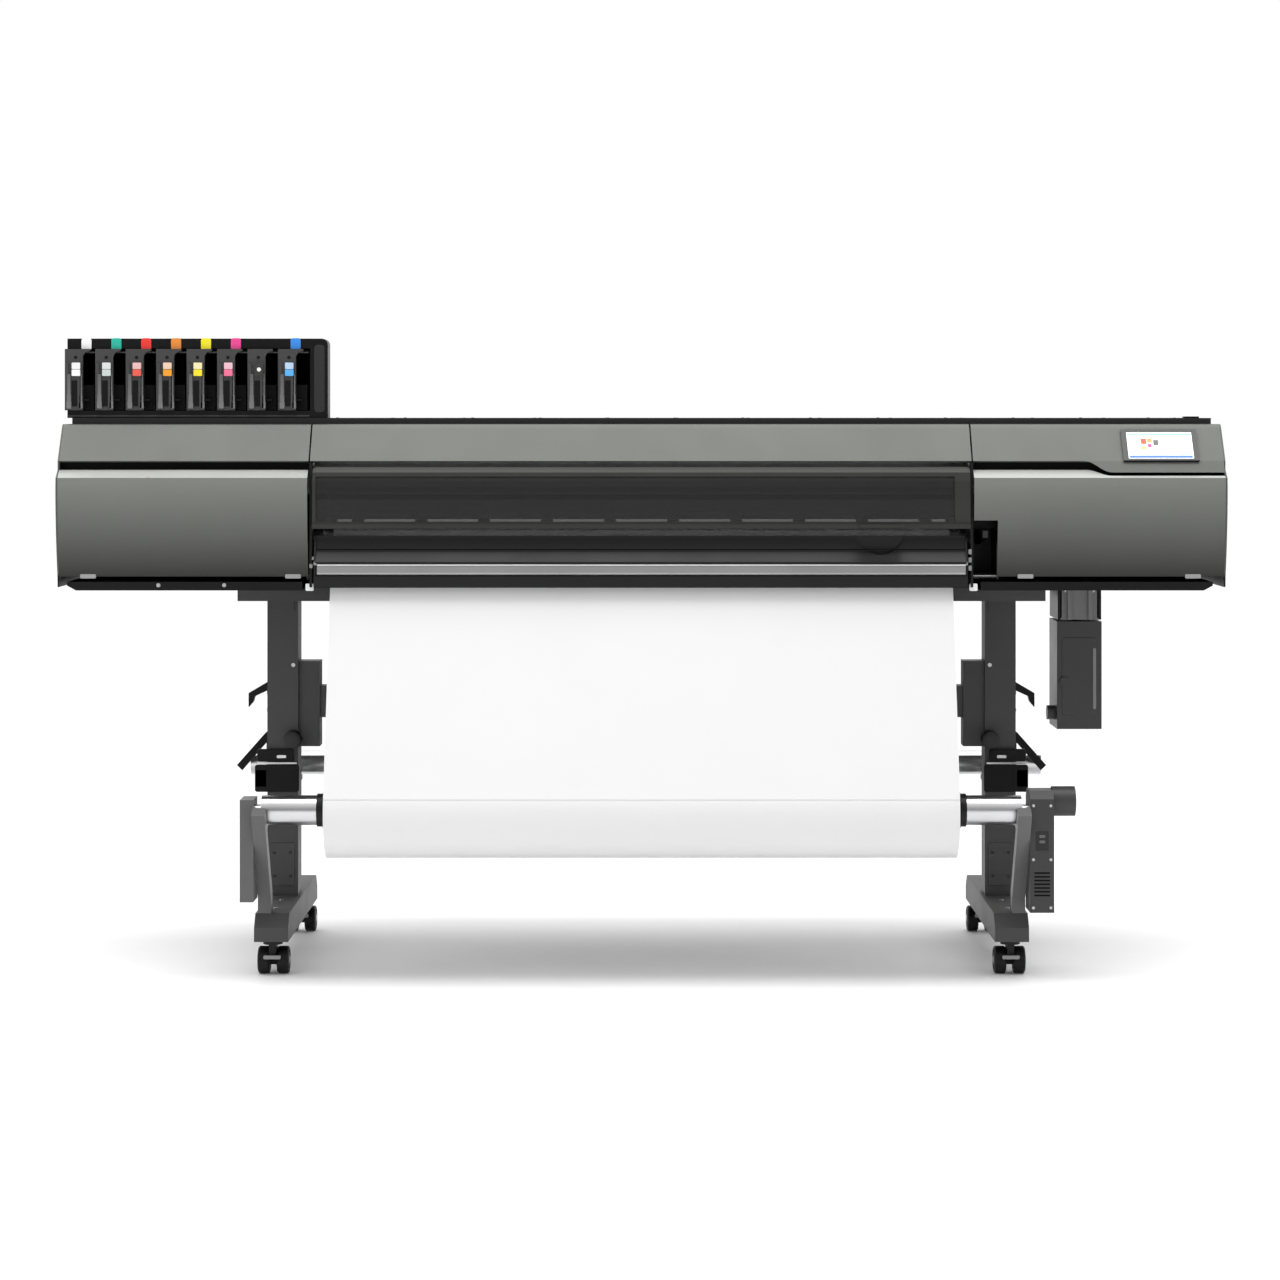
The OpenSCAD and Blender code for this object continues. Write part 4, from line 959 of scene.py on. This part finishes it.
def build_rear_details():
    """Fan grilles, panel seams, jacks and rating plates on the back; vents on the ends."""
    lo, hi = BOX["rear_cover"]
    y = hi.y
    fan_x, seam_x = (-1.12, 1.06), (-0.81, 0.81)
    bm = bmesh.new()
    for cx in fan_x:
        for k in range(12):
            z = lo.z + (150 + 11 * k) * MM
            add_prism(bm, rounded(cx - 0.09, cx + 0.09, z, z + 5 * MM, 2.4 * MM, 3),
                      y - 1 * MM, y + 0.7 * MM, "Y")
    for side, x in ((-1, BOX["left_end_cover"][0].x), (1, BOX["right_end_cover"][1].x)):
        for k in range(8):
            z = 1.03 + 0.012 * k
            x0, x1 = sorted((x - side * 0.001, x - side * 0.0002))
            add_block(bm, (x0, 0.03, z), (x1, 0.16, z + 0.005))
    piece("rear_fan_slots", bm, "grille_dark", "rear_cover", 0.0003)

    bm = bmesh.new()
    for x in seam_x:
        add_block(bm, (x - 0.0012, y - 0.001, lo.z + 0.004),
                  (x + 0.0012, y + 0.0004, hi.z - 0.004))
    piece("rear_seams", bm, "grille_dark", "rear_cover", 0)
    # data and network jacks, then the blank rating plates and their ruled lines
    bm = bmesh.new()
    add_prism(bm, rounded(1.13, 1.17, 1.0, 1.03, 0.003), y - 0.001, y + 0.0025, "Y")
    add_prism(bm, rounded(1.07, 1.11, 1.0, 1.03, 0.003), y - 0.001, y + 0.0025, "Y")
    piece("rear_jack_frames", bm, "screw_steel", "rear_cover", 0.0004)
    bm = bmesh.new()
    add_prism(bm, rounded(1.137, 1.163, 1.006, 1.024, 0.001), y + 0.001, y + 0.0031, "Y")
    add_prism(bm, rounded(1.08, 1.10, 1.008, 1.022, 0.001), y + 0.001, y + 0.0031, "Y")
    piece("rear_jack_holes", bm, "grille_dark", "rear_cover", 0)
    bm = bmesh.new()
    add_prism(bm, rounded(1.29, 1.36, 0.985, 1.045, 0.003), y - 0.001, y + 0.0008, "Y")
    add_prism(bm, rounded(-1.36, -1.28, 1.1, 1.16, 0.003), y - 0.001, y + 0.0008, "Y")
    piece("rear_rating_plates", bm, surface("plate_silver", grey(160), rough=0.4, metal=0.6),
          "rear_cover", 0.0002)
    bm = bmesh.new()
    for k in range(4):
        add_block(bm, (1.297, y + 0.0004, 0.995 + 0.011 * k),
                  (1.352 - 0.012 * (k % 2), y + 0.0011, 0.9975 + 0.011 * k))
        add_block(bm, (-1.353, y + 0.0004, 1.11 + 0.011 * k),
                  (-1.289 - 0.012 * (k % 2), y + 0.0011, 1.1125 + 0.011 * k))
    piece("rear_plate_lines", bm, "grille_dark", "rear_cover", 0)


# ---------------------------------------------------------------- print and cut carriages

def build_carriage_details():
    """Covers, lamp fins, tube fittings and screws of the print and the cutting carriage."""
    lo, hi = BOX["print_carriage"]
    mid = (lo.x + hi.x) / 2
    cover_y = -0.203
    bm = bmesh.new()
    for k in range(9):
        z = lo.z + (24 + 9 * k) * MM
        for x0, x1 in ((lo.x + 4 * MM, lo.x + 56 * MM), (hi.x - 56 * MM, hi.x - 4 * MM)):
            add_block(bm, (x0, -0.1925, z), (x1, -0.189, z + 4 * MM))
    piece("lamp_fins", bm, "cutter_aluminium", "print_carriage", 0.0005)
    plate("carriage_front_plate",
          rounded(mid - 0.115, mid + 0.115, lo.z + 0.045, hi.z - 0.05, 0.012),
          cover_y, cover_y + 4 * MM, "screen_bezel", "print_carriage", 0.0012)
    bm = bmesh.new()
    for k in range(8):
        x = mid + (k - 3.5) * 26 * MM
        add_lathe(bm, [(0, 0), (0, 0.006), (0.004, 0.006), (0.006, 0.0035), (0.011, 0.003),
                       (0.011, 0)], (x, -0.1, 1.29), "Z", 18)
    piece("damper_fittings", bm, "pulley_aluminium", "print_carriage", 0.0002)
    bm = bmesh.new()
    for x in (mid - 0.105, mid + 0.105):
        for z in (lo.z + 0.055, hi.z - 0.06):
            screw(bm, x, cover_y, z, "Y", -1, 0.0035, 0.0016)
    piece("carriage_screws", bm, "screw_steel", "print_carriage", 0)

    lo, hi = BOX["cut_carriage"]
    mid = (lo.x + hi.x) / 2
    plate("cutter_cover", rounded(mid - 0.045, mid + 0.045, lo.z + 0.10, hi.z - 0.015, 0.01),
          lo.y - 0.003, lo.y + 0.001, "carriage_black", "cut_carriage", 0.0012)
    bm = bmesh.new()
    for x in (mid - 0.035, mid + 0.035):
        for z in (lo.z + 0.112, hi.z - 0.027):
            screw(bm, x, lo.y - 0.003, z, "Y", -1, 0.0032, 0.0016)
    piece("cutter_screws", bm, "screw_steel", "cut_carriage", 0)


# ---------------------------------------------------------------- build

PARTS = (paint_faces, build_ink_trays, build_ink_rack, build_touch_screen, build_cover_details,
         build_recess_details, build_window_details, build_apron_details, build_stand_details,
         build_takeup_details, build_hanger_details, build_drain_details, build_caster_details,
         build_rear_details, build_carriage_details)


def build():
    add_camera()
    add_studio()
    make_materials()
    add_floor()
    dress_nodes()
    for part in PARTS:
        part()


build()
